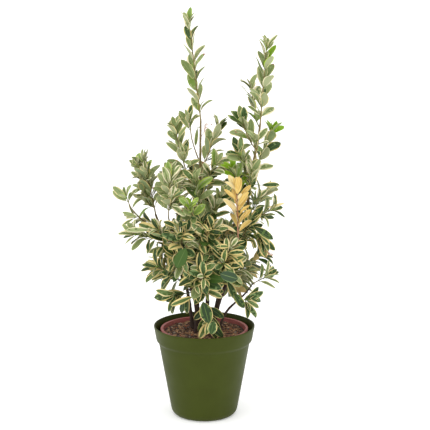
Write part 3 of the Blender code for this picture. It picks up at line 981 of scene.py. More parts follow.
def add_twig(line, foot_radius, tip_radius, finish):
    """A twig that tapers along a line."""
    line = resample(line, TWIG_STEP)[0]
    twig_lines.append(line)
    twigs.add(*tube(line, np.linspace(foot_radius, tip_radius, len(line)), TWIG_SIDES), finish)


def add_stalk(start, end, finish):
    """A leaf stalk that sags a little between its twig and its leaf."""
    line = np.array([start, (start + end) / 2 - STALK_SAG, end])
    stalks.add(*tube(line, STALK_RADII, STALK_SIDES), finish)


def add_bud(foot, way, size):
    """A pointed bud at the top of a twig."""
    line = foot + np.outer(BUD_SHARES * size, way)
    buds.add(*tube(line, size * BUD_RADII, TWIG_SIDES), "cuticle_young_green")


print("widest part of a 7 mm bud:", round(2 * 7 * BUD_RADII.max(), 1), "mm")

# %% [markdown]
# ## The edge of the crown
#
# The frame's box is the size of the real plant, so a leaf that would reach past it is shortened.
# A small margin is left, because the frame's masses end a little inside their longest leaves.

# %% Edge of the crown
CROWN_MARGIN = 9.0
crown_low = np.array(cad_box[0]) / MM - CROWN_MARGIN
crown_high = np.array(cad_box[1]) / MM + CROWN_MARGIN


def outside_crown(place):
    """True where a leaf tip would leave the box of the frame by more than the margin."""
    return bool((place < crown_low).any() or (place > crown_high).any())


print("crown box in mm:", crown_low.round(), crown_high.round())

# %% [markdown]
# ## Growing one leaf
#
# The random draws are seeded by the name of each spray, so the plant is the same every time and a
# change to one spray leaves the others alone. A leaf leaves its twig at the habit's angle, strays
# a little, droops if the habit says so, and is shortened where its mass is narrow.

# %% A leaf on its stalk
SHORTEST_LEAF = 16
TRIMMED_LEAF = 14
TRIM_STEP = 2
LEAST_SPREAD = 0.3
TWIG_SKIN = 0.6
STALK_VARIES = (0.7, 1.2)
STALK_OVERLAP = 0.8
LIGHT_PULL = (0.9, 2.2)
CURL_DEGREES = (4, 50)
RED_TIPPED = ("sage", "deep_sage", "broad_cream")
RED_TIP_CHANCE = 0.06


def deal(kinds, rng):
    """One leaf kind, drawn by the shares of a habit."""
    names = list(kinds)
    return rng.choices(names, [kinds[name] for name in names])[0]


def grow_leaf(piece, habit, place, twig_way, out_way, angle, length, room, rng):
    """A leaf on its stalk, from a place on a twig, kept near to the room of its mass."""
    spread = math.radians(angle)
    stray = np.array([rng.gauss(0, 1), rng.gauss(0, 1), rng.gauss(0, 1)]) * habit["scatter"]
    droop = np.array([0, 0, habit["droop"] * (0.5 + rng.random())])
    way = unit(swing(spread, twig_way, out_way) + stray - droop)
    length = min(length, max(SHORTEST_LEAF, room / max(math.sin(spread), LEAST_SPREAD)))
    start = place + out_way * TWIG_SKIN
    while length > TRIMMED_LEAF and outside_crown(start + way * (length + STALK_LENGTH)):
        length -= TRIM_STEP
    foot = start + way * STALK_LENGTH * rng.uniform(*STALK_VARIES)
    upper_side = math.sin(spread) * twig_way - math.cos(spread) * out_way
    face_way = upper_side + towards_light(foot) * rng.uniform(*LIGHT_PULL)
    kind = deal(habit["kinds"], rng)
    stalk_finish = "pink_young_bark" if kind in ("yellow", "gold") else "green_twig_bark"
    add_stalk(start, foot + way * STALK_OVERLAP, stalk_finish)
    width = length * rng.uniform(*habit["width"])
    fold = math.radians(rng.uniform(*habit["fold"]))
    curl = math.radians(rng.uniform(*CURL_DEGREES))
    red_tip = kind in RED_TIPPED and rng.random() < RED_TIP_CHANCE
    add_leaf(piece, kind, foot, way, face_way, length, width, fold, curl, rng, red_tip)


print("longest leaf stalk:", STALK_LENGTH * STALK_VARIES[1], "mm")

# %% [markdown]
# ## Pairs and rosettes
#
# Two opposite leaves stand at every node of a twig, and some have a small young leaf in the axil.
# At the top of the twig the youngest pairs stand close round a bud, and the innermost pair is the
# steepest and the smallest.

# %% Pairs and rosettes
PAIR_SIZES = (0.8, 1.1)
PAIR_DEGREES = 10
AXIL_STEP = 1.5
AXIL_ANGLE = 0.5
AXIL_SIZES = (0.35, 0.55)
AXIL_SWING = 0.8
# Each pair of a rosette, from outside: degrees added to the habit's upper angle, and its size.
ROSETTE = ((18, 0.9), (8, 1.0), (-6, 0.8))
ROSETTE_SIZES = (0.85, 1.05)
ROSETTE_DEGREES = 6
ROSETTE_TURN = 0.4
BUD_SIZE = 7.0


def grow_pair(piece, habit, place, way, out, beside, turn, angle, size, room, rng):
    """Two opposite leaves at one node, some with a small leaf in the axil."""
    for half_turn in (0, math.pi):
        direction = swing(turn + half_turn, out, beside)
        grow_leaf(piece, habit, place, way, direction, angle + rng.uniform(-PAIR_DEGREES, PAIR_DEGREES),
                  size * rng.uniform(*PAIR_SIZES), room, rng)
        if rng.random() < habit["axil"]:
            small_way = unit(direction + beside * rng.uniform(-AXIL_SWING, AXIL_SWING))
            grow_leaf(piece, habit, place + way * AXIL_STEP, way, small_way, angle * AXIL_ANGLE,
                      size * rng.uniform(*AXIL_SIZES), room, rng)


def grow_rosette(piece, habit, place, way, across, length, room, rng):
    """The youngest pairs, folded round a bud at the top of a twig."""
    over = np.cross(way, across)
    habit = dict(habit, kinds=habit["tip_kinds"])
    for k, (extra, scale) in enumerate(ROSETTE[-habit["tip_pairs"]:]):
        turn = k * math.pi / 2 + rng.uniform(-ROSETTE_TURN, ROSETTE_TURN)
        for half_turn in (0, math.pi):
            angle = habit["high_angle"] + extra + rng.uniform(-ROSETTE_DEGREES, ROSETTE_DEGREES)
            grow_leaf(piece, habit, place, way, swing(turn + half_turn, across, over), angle,
                      length * scale * rng.uniform(*ROSETTE_SIZES), room, rng)
    add_bud(place, way, BUD_SIZE)


print("leaves in the fullest rosette:", 2 * len(ROSETTE))

# %% [markdown]
# ## The branching rule
#
# A twig carries pairs of leaves at nodes a habit's length apart. Wide masses also carry short side
# twigs from the axils, each with its own small pairs, as the real crown does. The same function
# grows both, so a side twig is only a shorter, finer twig with no side twigs of its own.

# %% Nodes and sizes along a twig
LAST_GAP = 0.35
NODE_SPACING = (0.85, 1.15)
ROOM_SCALE = 1.25
ROOM_MARGIN = 10
ROOM_ENDS = (0.1, 0.9)
LEAST_SIZE = 0.82
SWELL = 0.3
SWELL_START = 0.15


def twig_nodes(habit, bare, end, rng):
    """How far along a twig its nodes stand."""
    nodes = []
    at = bare
    while at < end - LAST_GAP * habit["internode"]:
        nodes.append(at)
        at += habit["internode"] * rng.uniform(*NODE_SPACING)
    return nodes


def room_at(share, rooms):
    """How far from the twig its leaves may reach, at a share of its line."""
    return np.interp(share, np.linspace(*ROOM_ENDS, len(rooms)), rooms) * ROOM_SCALE + ROOM_MARGIN


def size_at(share):
    """How long a leaf is at a share of its shoot. The longest are a third of the way up."""
    return LEAST_SIZE + SWELL * math.sin(math.pi * min(1, SWELL_START + share))


print("leaf sizes at foot, middle and tip:", [round(size_at(share), 2) for share in (0, 0.35, 1)])

# %% [markdown]
# ## Twigs with their leaves
#
# The pairs turn a quarter from node to node, measured from the side where the light comes from.
# Side twigs start in the axils of a few nodes that are drawn at random, and point half way
# between the twig and the leaf below them.

# %% Growing a twig
QUARTER_WANDER = 0.3
TWIG_TIP_RADIUS = 0.8
TWIG_FINISHES = ("green_twig_bark", "tan_twig_bark")
LOOK_AHEAD = 3
ROSETTE_SCALE = 0.86
SIDE_SCALE = 0.84
LEAST_REACH = 14
REACH_SHARE = 0.75
SIDE_LEAN = 0.75
SIDE_RISE = 0.5
SIDE_ROOM = 0.55
SIDE_STEP = 3.0
SIDE_RADIUS = 1.0
SIDE_BARE = 8.0


def grow_side_twig(piece, habit, place, way, direction, length, room, rng):
    """A short twig from an axil, which bends up towards its end."""
    reach = max(LEAST_REACH, room * REACH_SHARE)
    side_way = unit(way * SIDE_LEAN + direction)
    end_way = unit(side_way + way * SIDE_RISE)
    line, along = resample([place, place + side_way * reach * 0.5, place + end_way * reach], SIDE_STEP)
    grow_twig(piece, habit, line, along, np.array([room * SIDE_ROOM]), along[-1],
              length * SIDE_SCALE, 0, SIDE_RADIUS, rng, SIDE_BARE)


def grow_twig(piece, habit, line, along, rooms, end, length, side_twigs, twig_radius, rng, bare):
    """Pairs of leaves up one twig, with side twigs from some axils."""
    line_end = place_at(end, along, line)
    twig_line = np.vstack([line[along < end - 1], line_end])
    finish = "pink_young_bark" if "yellow" in habit["kinds"] else rng.choice(TWIG_FINISHES)
    add_twig(twig_line, twig_radius, TWIG_TIP_RADIUS, finish)
    quarter = rng.uniform(-QUARTER_WANDER, QUARTER_WANDER)
    nodes = twig_nodes(habit, bare, end, rng)
    side_nodes = rng.sample(range(len(nodes)), min(side_twigs, len(nodes))) if nodes else []
    for k, at in enumerate(nodes):
        place = place_at(at, along, line)
        way = unit(place_at(at + LOOK_AHEAD, along, line) - place)
        out = square_to(towards_light(place), way)
        beside = np.cross(way, out)
        share = at / along[-1]
        room = room_at(share, rooms)
        angle = habit["low_angle"] + (habit["high_angle"] - habit["low_angle"]) * at / end
        odd_turn = math.pi / 2 if k % 2 == 0 else 0.0
        turn = quarter + odd_turn + rng.uniform(-QUARTER_WANDER, QUARTER_WANDER)
        grow_pair(piece, habit, place, way, out, beside, turn, angle, length * size_at(share), room, rng)
        if k in side_nodes:
            direction = swing(turn + rng.choice((0, math.pi)) + math.pi / 4, out, beside)
            grow_side_twig(piece, habit, place, way, direction, length, room, rng)
    way = unit(line_end - twig_line[-2])
    across = np.cross(way, square_to(towards_light(line_end), way))
    grow_rosette(piece, habit, line_end, way, across, length * ROSETTE_SCALE, room_at(1.0, rooms), rng)


print("a side twig is bare for", SIDE_BARE, "mm")

# %% [markdown]
# ## Growing every spray
#
# Each spray goes into the piece of its kind of leaf. The dark leaves of the crown are three
# pieces, left, right and back, because one mesh with all of them would be heavy to work with.

# %% Every spray
LEAF_PIECES = {
    "leaves_sage": "leaf_sage",
    "leaves_dark_left": "leaf_dark",
    "leaves_dark_right": "leaf_dark",
    "leaves_dark_back": "leaf_dark",
    "leaves_yellow": "leaf_yellow",
    "leaves_young": "leaf_young",
}
WIDE_ROOM = 17
LONG_SPRAY = 120
LONG_TWIG_RADIUS = 1.6
SHORT_TWIG_RADIUS = 1.3
LEAST_TWIG_SHARE = 0.4
TIP_SHARE = 0.9
BARE_SHARE = 0.25
LONGEST_BARE = 16.0

leaf_pieces = {name: Gathered(name) for name in LEAF_PIECES}
piece_sprays = {name: [] for name in LEAF_PIECES}


def front_piece(place):
    """The piece of a dark leaf in the front of the crown."""
    return "leaves_dark_left" if place[0] < CROWN_AXIS[0] else "leaves_dark_right"


def piece_of(node, habit_name, place):
    """The piece that a spray's leaves go into."""
    if habit_name in ("leader", "upper", "slender"):
        return "leaves_sage"
    if habit_name in ("yellow", "young"):
        return "leaves_" + habit_name
    return "leaves_dark_back" if "_back_" in node else front_piece(place)


for node, (carrier, habit_name) in SPRAYS.items():
    rng = random.Random(node)
    habit = dict(HABITS[habit_name], tip_kinds=TIP_KINDS.get(node, HABITS[habit_name]["kinds"]))
    line, along, rooms = read_mass(node, carrier)
    total = along[-1]
    piece_name = piece_of(node, habit_name, line[-1])
    piece_sprays[piece_name].append(node)
    end = max(LEAST_TWIG_SHARE * total, total - TIP_SHARE * habit["leaf"] * ROSETTE_SCALE)
    side_twigs = habit["side_twigs"] if rooms.mean() > WIDE_ROOM else 0
    twig_radius = LONG_TWIG_RADIUS if total > LONG_SPRAY else SHORT_TWIG_RADIUS
    grow_twig(leaf_pieces[piece_name], habit, line, along, rooms, end, habit["leaf"], side_twigs,
              twig_radius, rng, min(LONGEST_BARE, BARE_SHARE * total))
    print(f"{node}: {total:.0f} mm long, {rooms.mean():.0f} mm room")

# %% [markdown]
# ## Short shoots inside the crown
#
# Old stems of euonymus sprout short leafy shoots all the way up, which darken the middle of the
# crown and hide most of the stems. They grow straight from the stems, at seeded heights, each
# turned by about the golden angle from the last, so that they spread all round.

# %% Inner shoots
# Each stem: the lowest and the highest shoot in millimetres, and how many there are.
INNER_STEMS = {
    "stem_left_leader": (285, 520, 8),
    "stem_right_leader": (300, 520, 8),
    "stem_left": (275, 400, 6),
    "stem_centre": (290, 440, 6),
    "stem_back_left": (265, 400, 6),
    "stem_back_right": (265, 400, 6),
}
GOLDEN_TURN = 2.4
TURN_WANDER = 0.5
OUT_RISE = 0.9
END_RISE = np.array([0, 0, 0.4])
INNER_REACH = (28, 42)
INNER_ROOM = 24.0
INNER_RADIUS = 1.2
INNER_BARE = 12.0
INNER_HABIT = dict(HABITS["body"], leaf=34, internode=10, tip_kinds=HABITS["body"]["kinds"])

for stem, (lowest, highest, count) in INNER_STEMS.items():
    rng = random.Random(stem + " inner")
    centres = limb_lines[stem]
    for k in range(count):
        height = lowest + (highest - lowest) * (k + rng.uniform(0.2, 0.8)) / count
        start = centres[abs(centres[:, 2] - height).argmin()]
        turn = k * GOLDEN_TURN + rng.uniform(-TURN_WANDER, TURN_WANDER)
        out_way = unit([math.cos(turn), math.sin(turn), OUT_RISE])
        reach = rng.uniform(*INNER_REACH)
        end_way = unit(out_way + END_RISE)
        line, along = resample([start, start + out_way * reach * 0.5, start + end_way * reach], SIDE_STEP)
        piece_name = "leaves_dark_back" if "back" in stem else front_piece(start)
        grow_twig(leaf_pieces[piece_name], INNER_HABIT, line, along, np.array([INNER_ROOM]), along[-1],
                  INNER_HABIT["leaf"], 0, INNER_RADIUS, rng, INNER_BARE)
print("inner shoots:", sum(count for lowest, highest, count in INNER_STEMS.values()))

# %% [markdown]
# ## Leaves that stand out
#
# Some leaves catch the eye: a big plain green one in the front, a blue-green one to its right,
# those that hang over the rim, and those that end an arm of the crown. Each is placed by its own
# foot and tip in millimetres, and a short twig runs to it from the nearest twig or stem.

# %% Single leaves
# Each leaf: kind, place of its foot, place of its tip, width as a share of its length, fold in degrees.
STANDOUT_LEAVES = (
    ("plain_green", (-37, -122, 399), (-57, -126, 357), 0.56, 12),
    ("blue_green", (34, -122, 344), (71, -128, 335), 0.62, 10),
    ("deep", (-2, -96, 277), (11, -112, 235), 0.58, 14),
    ("dark", (21, -98, 237), (15, -106, 209), 0.72, 14),
    ("mostly_cream", (-25, -70, 281), (-69, -92, 269), 0.34, 50),
    ("dark", (96, -40, 277), (122, -44, 264), 0.5, 20),
    ("pale_yellow", (135, -12, 462), (171, -22, 475), 0.2, 50),
    ("broad_cream", (-114, -50, 422), (-165, -58, 424), 0.26, 40),
    ("dark", (128, 10, 309), (162, 2, 318), 0.32, 30),
    ("deep", (106, -36, 426), (148, -44, 401), 0.36, 30),
    ("deep_sage", (-14, -4, 633), (-18, -12, 596), 0.24, 40),
    ("blue_green", (-45, -60, 268), (-48, -66, 244), 0.48, 20),
    ("lime", (144, 36, 608), (156, 34, 643), 0.36, 24),
    ("sage", (-142, -38, 448), (-172, -46, 460), 0.3, 40),
    ("deep", (64, -50, 284), (86, -66, 256), 0.46, 20),
    ("dark", (123, -20, 513), (159, -30, 517), 0.34, 34),
)
STANDOUT_PIECES = {"lime": "leaves_young", "pale_yellow": "leaves_yellow", "sage": "leaves_sage",
                   "deep_sage": "leaves_sage"}
STANDOUT_FACING = np.array([0.05, -1.0, 0.35])
STANDOUT_CURL = math.radians(12)
KNEE_BACK = 2.0
LEAF_BACK = 1.5
TOUCHING = 3
STANDOUT_TWIG_RADII = (0.9, 0.7)
carriers = np.vstack(list(limb_lines.values()) + twig_lines)

for kind, foot, tip, width_share, fold in STANDOUT_LEAVES:
    rng = random.Random(kind + str(foot))
    foot = np.array(foot, float)
    reach = np.array(tip, float) - foot
    length = np.linalg.norm(reach)
    way = unit(reach)
    nearest = carriers[np.linalg.norm(carriers - foot, axis=1).argmin()]
    gap = np.linalg.norm(nearest - foot)
    if gap > TOUCHING:
        knee = (nearest + foot) / 2 - way * KNEE_BACK
        add_twig([nearest, knee, foot - way * LEAF_BACK, foot], *STANDOUT_TWIG_RADII, "green_twig_bark")
    piece_name = STANDOUT_PIECES.get(kind, front_piece(foot))
    add_leaf(leaf_pieces[piece_name], kind, foot, way, STANDOUT_FACING, length, length * width_share,
             math.radians(fold), STANDOUT_CURL, rng)
    print(f"{kind} leaf {length:.0f} mm long, {gap:.0f} mm from its twig")

# %% [markdown]
# ## Old flower stalks
#
# A few thin stalks are left from last year's flowers: a pale fork beside the left leader, and a
# few withered brown ones at the right. Each is a short stem that forks into tubes thinner than a
# twig, with a small knob at the end where the flower was.

# %% Flower stalks
# Each group: where its stem starts, the middle of its knobs, and how many there are.
STALK_GROUPS = (
    ((-7, 4, 611), (9, -4, 640), 5),
    ((118, -36, 380), (140, -40, 368), 6),
)
FORK_SHARE = 0.45
FLOWER_STEP = 3.0
FLOWER_SIDES = 5
FLOWER_STEM_RADII = (0.8, 0.6)
FLOWER_TWIG_RADII = (0.5, 0.4)
KNOB_RADII = (1.0, 1.1)
KNOB_SPREAD = (9, 9, 7)
ARCH = np.array([0, 0, 2.5])
flower_stalks = Gathered("old_flower_stalks")

for start, end, count in STALK_GROUPS:
    rng = random.Random(str(start))
    start = np.array(start, float)
    end = np.array(end, float)
    fork = start + (end - start) * FORK_SHARE
    line = resample([start, fork], FLOWER_STEP)[0]
    radii = np.linspace(*FLOWER_STEM_RADII, len(line))
    flower_stalks.add(*tube(line, radii, FLOWER_SIDES), "withered_stalk")
    for _ in range(count):
        knob = end + np.array([rng.uniform(-spread, spread) for spread in KNOB_SPREAD])
        line = resample([fork, (fork + knob) / 2 + ARCH, knob], FLOWER_STEP)[0]
        radii = np.linspace(*FLOWER_TWIG_RADII, len(line))
        radii[-2:] = KNOB_RADII
        flower_stalks.add(*tube(line, radii, FLOWER_SIDES), "withered_stalk")
print("flower stalks:", sum(count for start, end, count in STALK_GROUPS))

# %% [markdown]
# ## The plant's pieces
#
# All leaves, twigs, stalks and buds are gathered now, and each kind becomes one mesh. A leaf piece
# stands for the masses whose sprays it holds. Twigs, stalks and buds run through all of them.

# %% Plant pieces
for name, slot in LEAF_PIECES.items():
    leaf_pieces[name].make(slot, piece_sprays[name])
twigs.make("bark")
stalks.make("leaf_sage")
buds.make("leaf_young")
flower_stalks.make("bark")

# %% [markdown]
# ## Moulded polypropylene
#
# Both pots are injection-moulded polypropylene. The mould leaves a satin skin, which gives the eye
# a broad soft shine with no clear reflection. Its real grain is a tenth of a millimetre, too fine
# to show, so it is drawn 1.2 mm wide. Soft clouds in the colour and shine keep it from looking
# like paint.

# %% Pot finishes
POLYPROPYLENE_IOR = 1.49
MOULD_SPECULAR = 0.16
MOULD_GRAIN = 1.2
CLOUD_WIDTH = 45
# Each plastic: its colour, its colour in the clouds, and its roughness.
POT_PLASTICS = {
    "olive_polypropylene": ("#3d4609", "#363d07", 0.5),
    "terracotta_polypropylene": ("#a8605a", "#9c5650", 0.48),
}


def moulded_polypropylene(name, colour, shade, roughness):
    """Satin moulded plastic: a nearly even colour, a fine grain and soft clouds in the shine."""
    material, tree, shader = new_finish(name, POLYPROPYLENE_IOR)
    place = add_node(tree, "ShaderNodeTexCoord")
    clouds = add_node(tree, "ShaderNodeTexNoise", None, {
        "Vector": place.outputs["Object"], "Scale": 1 / (CLOUD_WIDTH * MM), "Detail": 2.0})
    grain = add_node(tree, "ShaderNodeTexNoise", None, {
        "Vector": place.outputs["Object"], "Scale": 1 / (MOULD_GRAIN * MM), "Detail": 2.0})
    mixed = add_node(tree, "ShaderNodeMix", {"data_type": "RGBA"}, {
        0: clouds.outputs["Fac"], 6: linear(colour), 7: linear(shade)})
    shine = add_node(tree, "ShaderNodeMapRange", None, {
        "Value": clouds.outputs["Fac"], "From Min": 0.3, "From Max": 0.7,
        "To Min": roughness - 0.04, "To Max": roughness + 0.05})
    relief = add_node(tree, "ShaderNodeBump", None, {
        "Height": grain.outputs["Fac"], "Strength": 0.12, "Distance": 0.15 * MM})
    fill_sockets(tree, shader, {
        "Base Color": mixed.outputs[2], "Specular IOR Level": MOULD_SPECULAR,
        "Roughness": shine.outputs["Result"], "Normal": relief.outputs["Normal"]})
    return material


for name, plastic in POT_PLASTICS.items():
    finishes[name] = moulded_polypropylene(name, *plastic)
print("pot finishes:", ", ".join(POT_PLASTICS))

# %% [markdown]
# ## Turning a pot
#
# A pot is turned from its outline, like clay on a wheel. The corners of the outline are rounded
# first, because a sharp corner would give no highlight along the rim. A Screw modifier would turn
# it too, but rings made in code close neatly at the axis.

# %% Turning a rounded outline
POT_SIDES = 128
CORNER_STEPS = 5


def rounded_outline(corners):
    """Points of an outline whose corners, given as (radius, height, rounding), are curves."""
    points = []
    for k, (x, z, rounding) in enumerate(corners):
        here = np.array([x, z], float)
        if rounding == 0 or k in (0, len(corners) - 1):
            points.append(here)
            continue
        before = unit(np.array(corners[k - 1][:2]) - here)
        after = unit(np.array(corners[k + 1][:2]) - here)
        for step in range(CORNER_STEPS + 1):
            share = step / CORNER_STEPS
            start = here + before * rounding * (1 - share)
            end = here + after * rounding * share
            points.append(start * (1 - share) + end * share)
    return points


def circle(radius, height, sides):
    """Places round the pot's axis at one height."""
    turns = [2 * math.pi * side / sides for side in range(sides)]
    return [(radius * math.cos(turn), radius * math.sin(turn), height) for turn in turns]


def turned_piece(name, corners, finish):
    """Turn a rounded outline about the pot's axis. The first and last corners lie on it."""
    outline = rounded_outline(corners)
    places = [(0, 0, outline[0][1])]
    for x, z in outline[1:-1]:
        places += circle(x, z, POT_SIDES)
    places.append((0, 0, outline[-1][1]))
    last_ring = len(places) - 1 - POT_SIDES
    faces = []
    for side in range(POT_SIDES):
        following = (side + 1) % POT_SIDES
        faces.append((0, 1 + following, 1 + side))
        faces.append((last_ring + side, last_ring + following, len(places) - 1))
    for low in range(1, last_ring, POT_SIDES):
        high = low + POT_SIDES
        for side in range(POT_SIDES):
            following = (side + 1) % POT_SIDES
            faces.append((low + side, low + following, high + following, high + side))
    pot = Gathered(name)
    pot.add(places, faces, finish)
    return pot


print("points on a rounded corner:", CORNER_STEPS + 1)

# %% [markdown]
# ## Cover pot
#
# The cover pot is a plain cone with a small heel at the foot and a thick turned-out collar at the
# top, which flares below and stands nearly upright above. The sizes are in millimetres, and the
# rim and the height are read from the frame.

# %% Cover pot
POT_WALL = 3.0
FOOT_RADIUS = 64
HEEL_RADIUS, HEEL_HEIGHT = 72, 8
NECK_RADIUS, NECK_HEIGHT = 99, 160
COLLAR_RADIUS, COLLAR_HEIGHT = 104.5, 168
cover_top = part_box("cover_pot")[1]
RIM_RADIUS = cover_top.x / MM
POT_HEIGHT = cover_top.z / MM
RIM_INSIDE = RIM_RADIUS - POT_WALL
cover_corners = [
    (0, 0, 0),
    (FOOT_RADIUS, 0, 5),
    (HEEL_RADIUS, HEEL_HEIGHT, 6),
    (NECK_RADIUS, NECK_HEIGHT, 2),
    (NECK_RADIUS + 1, NECK_HEIGHT + 2.5, 1.2),
    (COLLAR_RADIUS, COLLAR_HEIGHT, 2.5),
    (RIM_RADIUS - 0.6, POT_HEIGHT - 5, 1.5),
    (RIM_RADIUS, POT_HEIGHT - 3.4, 1.0),
    (RIM_RADIUS, POT_HEIGHT, 1.4),
    (RIM_INSIDE, POT_HEIGHT, 1.4),
    (RIM_INSIDE - 5.4, COLLAR_HEIGHT, 2.5),
    (NECK_RADIUS - POT_WALL, NECK_HEIGHT, 2),
    (HEEL_RADIUS - POT_WALL, HEEL_HEIGHT + 1, 5),
    (FOOT_RADIUS - POT_WALL, POT_WALL, 5),
    (0, POT_WALL, 0),
]
cover_shell = turned_piece("cover_pot_shell", cover_corners, "olive_polypropylene")
cover_shell.make("cover_pot_plastic", ["cover_pot"])
print(f"cover pot: {2 * RIM_RADIUS:.0f} mm wide, {POT_HEIGHT:.0f} mm high")

# %% [markdown]
# ## Grower's pot
#
# The grower's pot is thin, and its stiffness comes from a lip that is folded out and down. Only
# the lip and the inside of the wall above the soil show. The wall runs from the base to the lip in
# one straight line, just outside the soil.

# %% Grower's pot
GROWER_WALL = 1.6
LIP_DEPTH = 12.0
SOIL_TOP = 181.0
SOIL_GAP = 0.3
BASE_RADIUS = 64.0
BASE_EDGE = 3
BASE_RISE = 5
grower_low, grower_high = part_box("grower_pot")
soil_low, soil_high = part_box("soil")
LIP_RADIUS = grower_high.x / MM
LIP_TOP = grower_high.z / MM
GROWER_BASE = grower_low.z / MM
SOIL_RADIUS = soil_high.x / MM
wall_at_soil = SOIL_RADIUS + SOIL_GAP + GROWER_WALL
lean = (wall_at_soil - BASE_RADIUS) / (SOIL_TOP - GROWER_BASE)
wall_at_lip = wall_at_soil + lean * (LIP_TOP - SOIL_TOP)
grower_corners = [
    (0, GROWER_BASE, 0),
    (BASE_RADIUS - BASE_EDGE, GROWER_BASE, 3),
    (BASE_RADIUS, GROWER_BASE + BASE_RISE, 3),
    (wall_at_lip - 0.4, LIP_TOP - GROWER_WALL, 1.0),
    (LIP_RADIUS - GROWER_WALL - 0.8, LIP_TOP - GROWER_WALL, 0.8),
    (LIP_RADIUS - GROWER_WALL - 0.3, LIP_TOP - LIP_DEPTH, 0.4),
    (LIP_RADIUS - 0.6, LIP_TOP - LIP_DEPTH, 0.5),
    (LIP_RADIUS, LIP_TOP, 1.2),
    (wall_at_lip - GROWER_WALL, LIP_TOP, 1.0),
    (BASE_RADIUS - GROWER_WALL, GROWER_BASE + BASE_RISE, 2),
    (BASE_RADIUS - GROWER_WALL - BASE_EDGE, GROWER_BASE + GROWER_WALL, 2),
    (0, GROWER_BASE + GROWER_WALL, 0),
]
grower_shell = turned_piece("grower_pot_shell", grower_corners, "terracotta_polypropylene")
grower_shell.make("grower_pot_plastic", ["grower_pot"])
print(f"lip {LIP_RADIUS:.1f} mm, soil {SOIL_RADIUS:.1f} mm in radius")

# %% [markdown]
# ## Composted bark
#
# The pot is filled with composted bark: dark crumbs with larger chips of brown and tan bark on
# top. It gives the eye a dry, matt, mottled surface. Its crumbs are about 2.4 mm wide, so the
# noise that mottles the colour and raises the relief has that scale.

# %% Soil finishes
CRUMB = 2.4
# Each part of the soil: its light colour and its dark colour.
SOIL_COLOURS = {
    "soil_dark_crumb": ("#5c4030", "#2a1b12"),
    "soil_brown_chip": ("#946a48", "#5c3e2a"),
    "soil_tan_chip": ("#bf9870", "#8c6646"),
    "soil_red_chip": ("#a0623e", "#643a26"),
    "soil_grey_chip": ("#9a8c7c", "#6a5c4e"),
}


def composted_bark(name, colour, shade):
    """Dry crumbly bark: matt, mottled at the size of its crumbs."""
    material, tree, shader = new_finish(name, BARK_IOR)
    place = add_node(tree, "ShaderNodeTexCoord")
    crumbs = add_node(tree, "ShaderNodeTexNoise", None, {
        "Vector": place.outputs["Object"], "Scale": 1 / (CRUMB * MM), "Detail": 4.0})
    mottle = add_node(tree, "ShaderNodeMapRange", None, {
        "Value": crumbs.outputs["Fac"], "From Min": 0.35, "From Max": 0.65})
    mixed = add_node(tree, "ShaderNodeMix", {"data_type": "RGBA"}, {
        0: mottle.outputs["Result"], 6: linear(shade), 7: linear(colour)})
    rough = add_node(tree, "ShaderNodeMapRange", None, {
        "Value": crumbs.outputs["Fac"], "To Min": 0.95, "To Max": 0.78})
    relief = add_node(tree, "ShaderNodeBump", None, {
        "Height": crumbs.outputs["Fac"], "Strength": 0.7, "Distance": 1.0 * MM})
    fill_sockets(tree, shader, {
        "Base Color": mixed.outputs[2],
        "Roughness": rough.outputs["Result"], "Normal": relief.outputs["Normal"]})
    return material


for name, soil_colours in SOIL_COLOURS.items():
    finishes[name] = composted_bark(name, *soil_colours)
print("soil finishes:", len(SOIL_COLOURS))

# %% [markdown]
# ## The soil's surface
#
# The soil is a closed body that fills the pot. Its top is a disc of rings whose points rise and
# fall with two sizes of noise, lumps and crumbs, a few millimetres above the level of the frame's
# plain soil, where loose chips bank up.

# %% Soil body
SOIL_RINGS = 26
SOIL_SIDES = 96
SOIL_BANK = 4.5
LUMP_RISE, LUMP_WIDTH = 1.6, 14
CRUMB_RISE, CRUMB_WIDTH = 0.9, 5
soil_base = soil_low.z / MM + 0.5
soil_base_ring = cut("soil", (0, 0, soil_base + 1), (0, 0, 1))
soil_base_radius = np.linalg.norm(soil_base_ring[:, :2], axis=1).max() - SOIL_GAP


def soil_height(x, y):
    """The height of the soil at a place, in millimetres."""
    lump = noise.noise(Vector((x / LUMP_WIDTH, y / LUMP_WIDTH, 3.1)))
    crumb = noise.noise(Vector((x / CRUMB_WIDTH, y / CRUMB_WIDTH, 8.7)))
    return SOIL_TOP + SOIL_BANK + LUMP_RISE * lump + CRUMB_RISE * crumb


soil_places = [(0, 0, soil_height(0, 0))]
for ring in range(1, SOIL_RINGS + 1):
    distance = (SOIL_RADIUS - SOIL_GAP) * ring / SOIL_RINGS
    soil_places += [(x, y, soil_height(x, y)) for x, y, _ in circle(distance, 0, SOIL_SIDES)]
soil_places += circle(soil_base_radius, soil_base, SOIL_SIDES)
soil_faces = [(0, 1 + side, 1 + (side + 1) % SOIL_SIDES) for side in range(SOIL_SIDES)]
for ring in range(SOIL_RINGS):
    near = 1 + ring * SOIL_SIDES
    far = near + SOIL_SIDES
    for side in range(SOIL_SIDES):
        following = (side + 1) % SOIL_SIDES
        soil_faces.append((near + side, far + side, far + following, near + following))
underside_start = 1 + SOIL_RINGS * SOIL_SIDES
soil_faces.append(tuple(underside_start + side for side in reversed(range(SOIL_SIDES))))
soil = Gathered("soil_surface")
soil.add(soil_places, soil_faces, "soil_dark_crumb")
soil.make("soil", ["soil"])

# %% [markdown]
# ## Bark chips
#
# Several hundred small slabs lie on the soil at random tilts. Each has five to seven corners and a
# chamfered edge, which is all that a chip shows at this size, and its faces are shaded flat, as
# broken bark is.

# %% The shape of a chip
CHIP_CORNERS = (5, 7)
CHIP_STRETCH = (0.45, 0.9)
CHIP_RAGGED = (0.7, 1.1)
# Each ring of a chip: its width and its height as shares of the chip's.
CHIP_RINGS = ((0.8, -0.5), (1.0, -0.1), (1.0, 0.15), (0.78, 0.5))


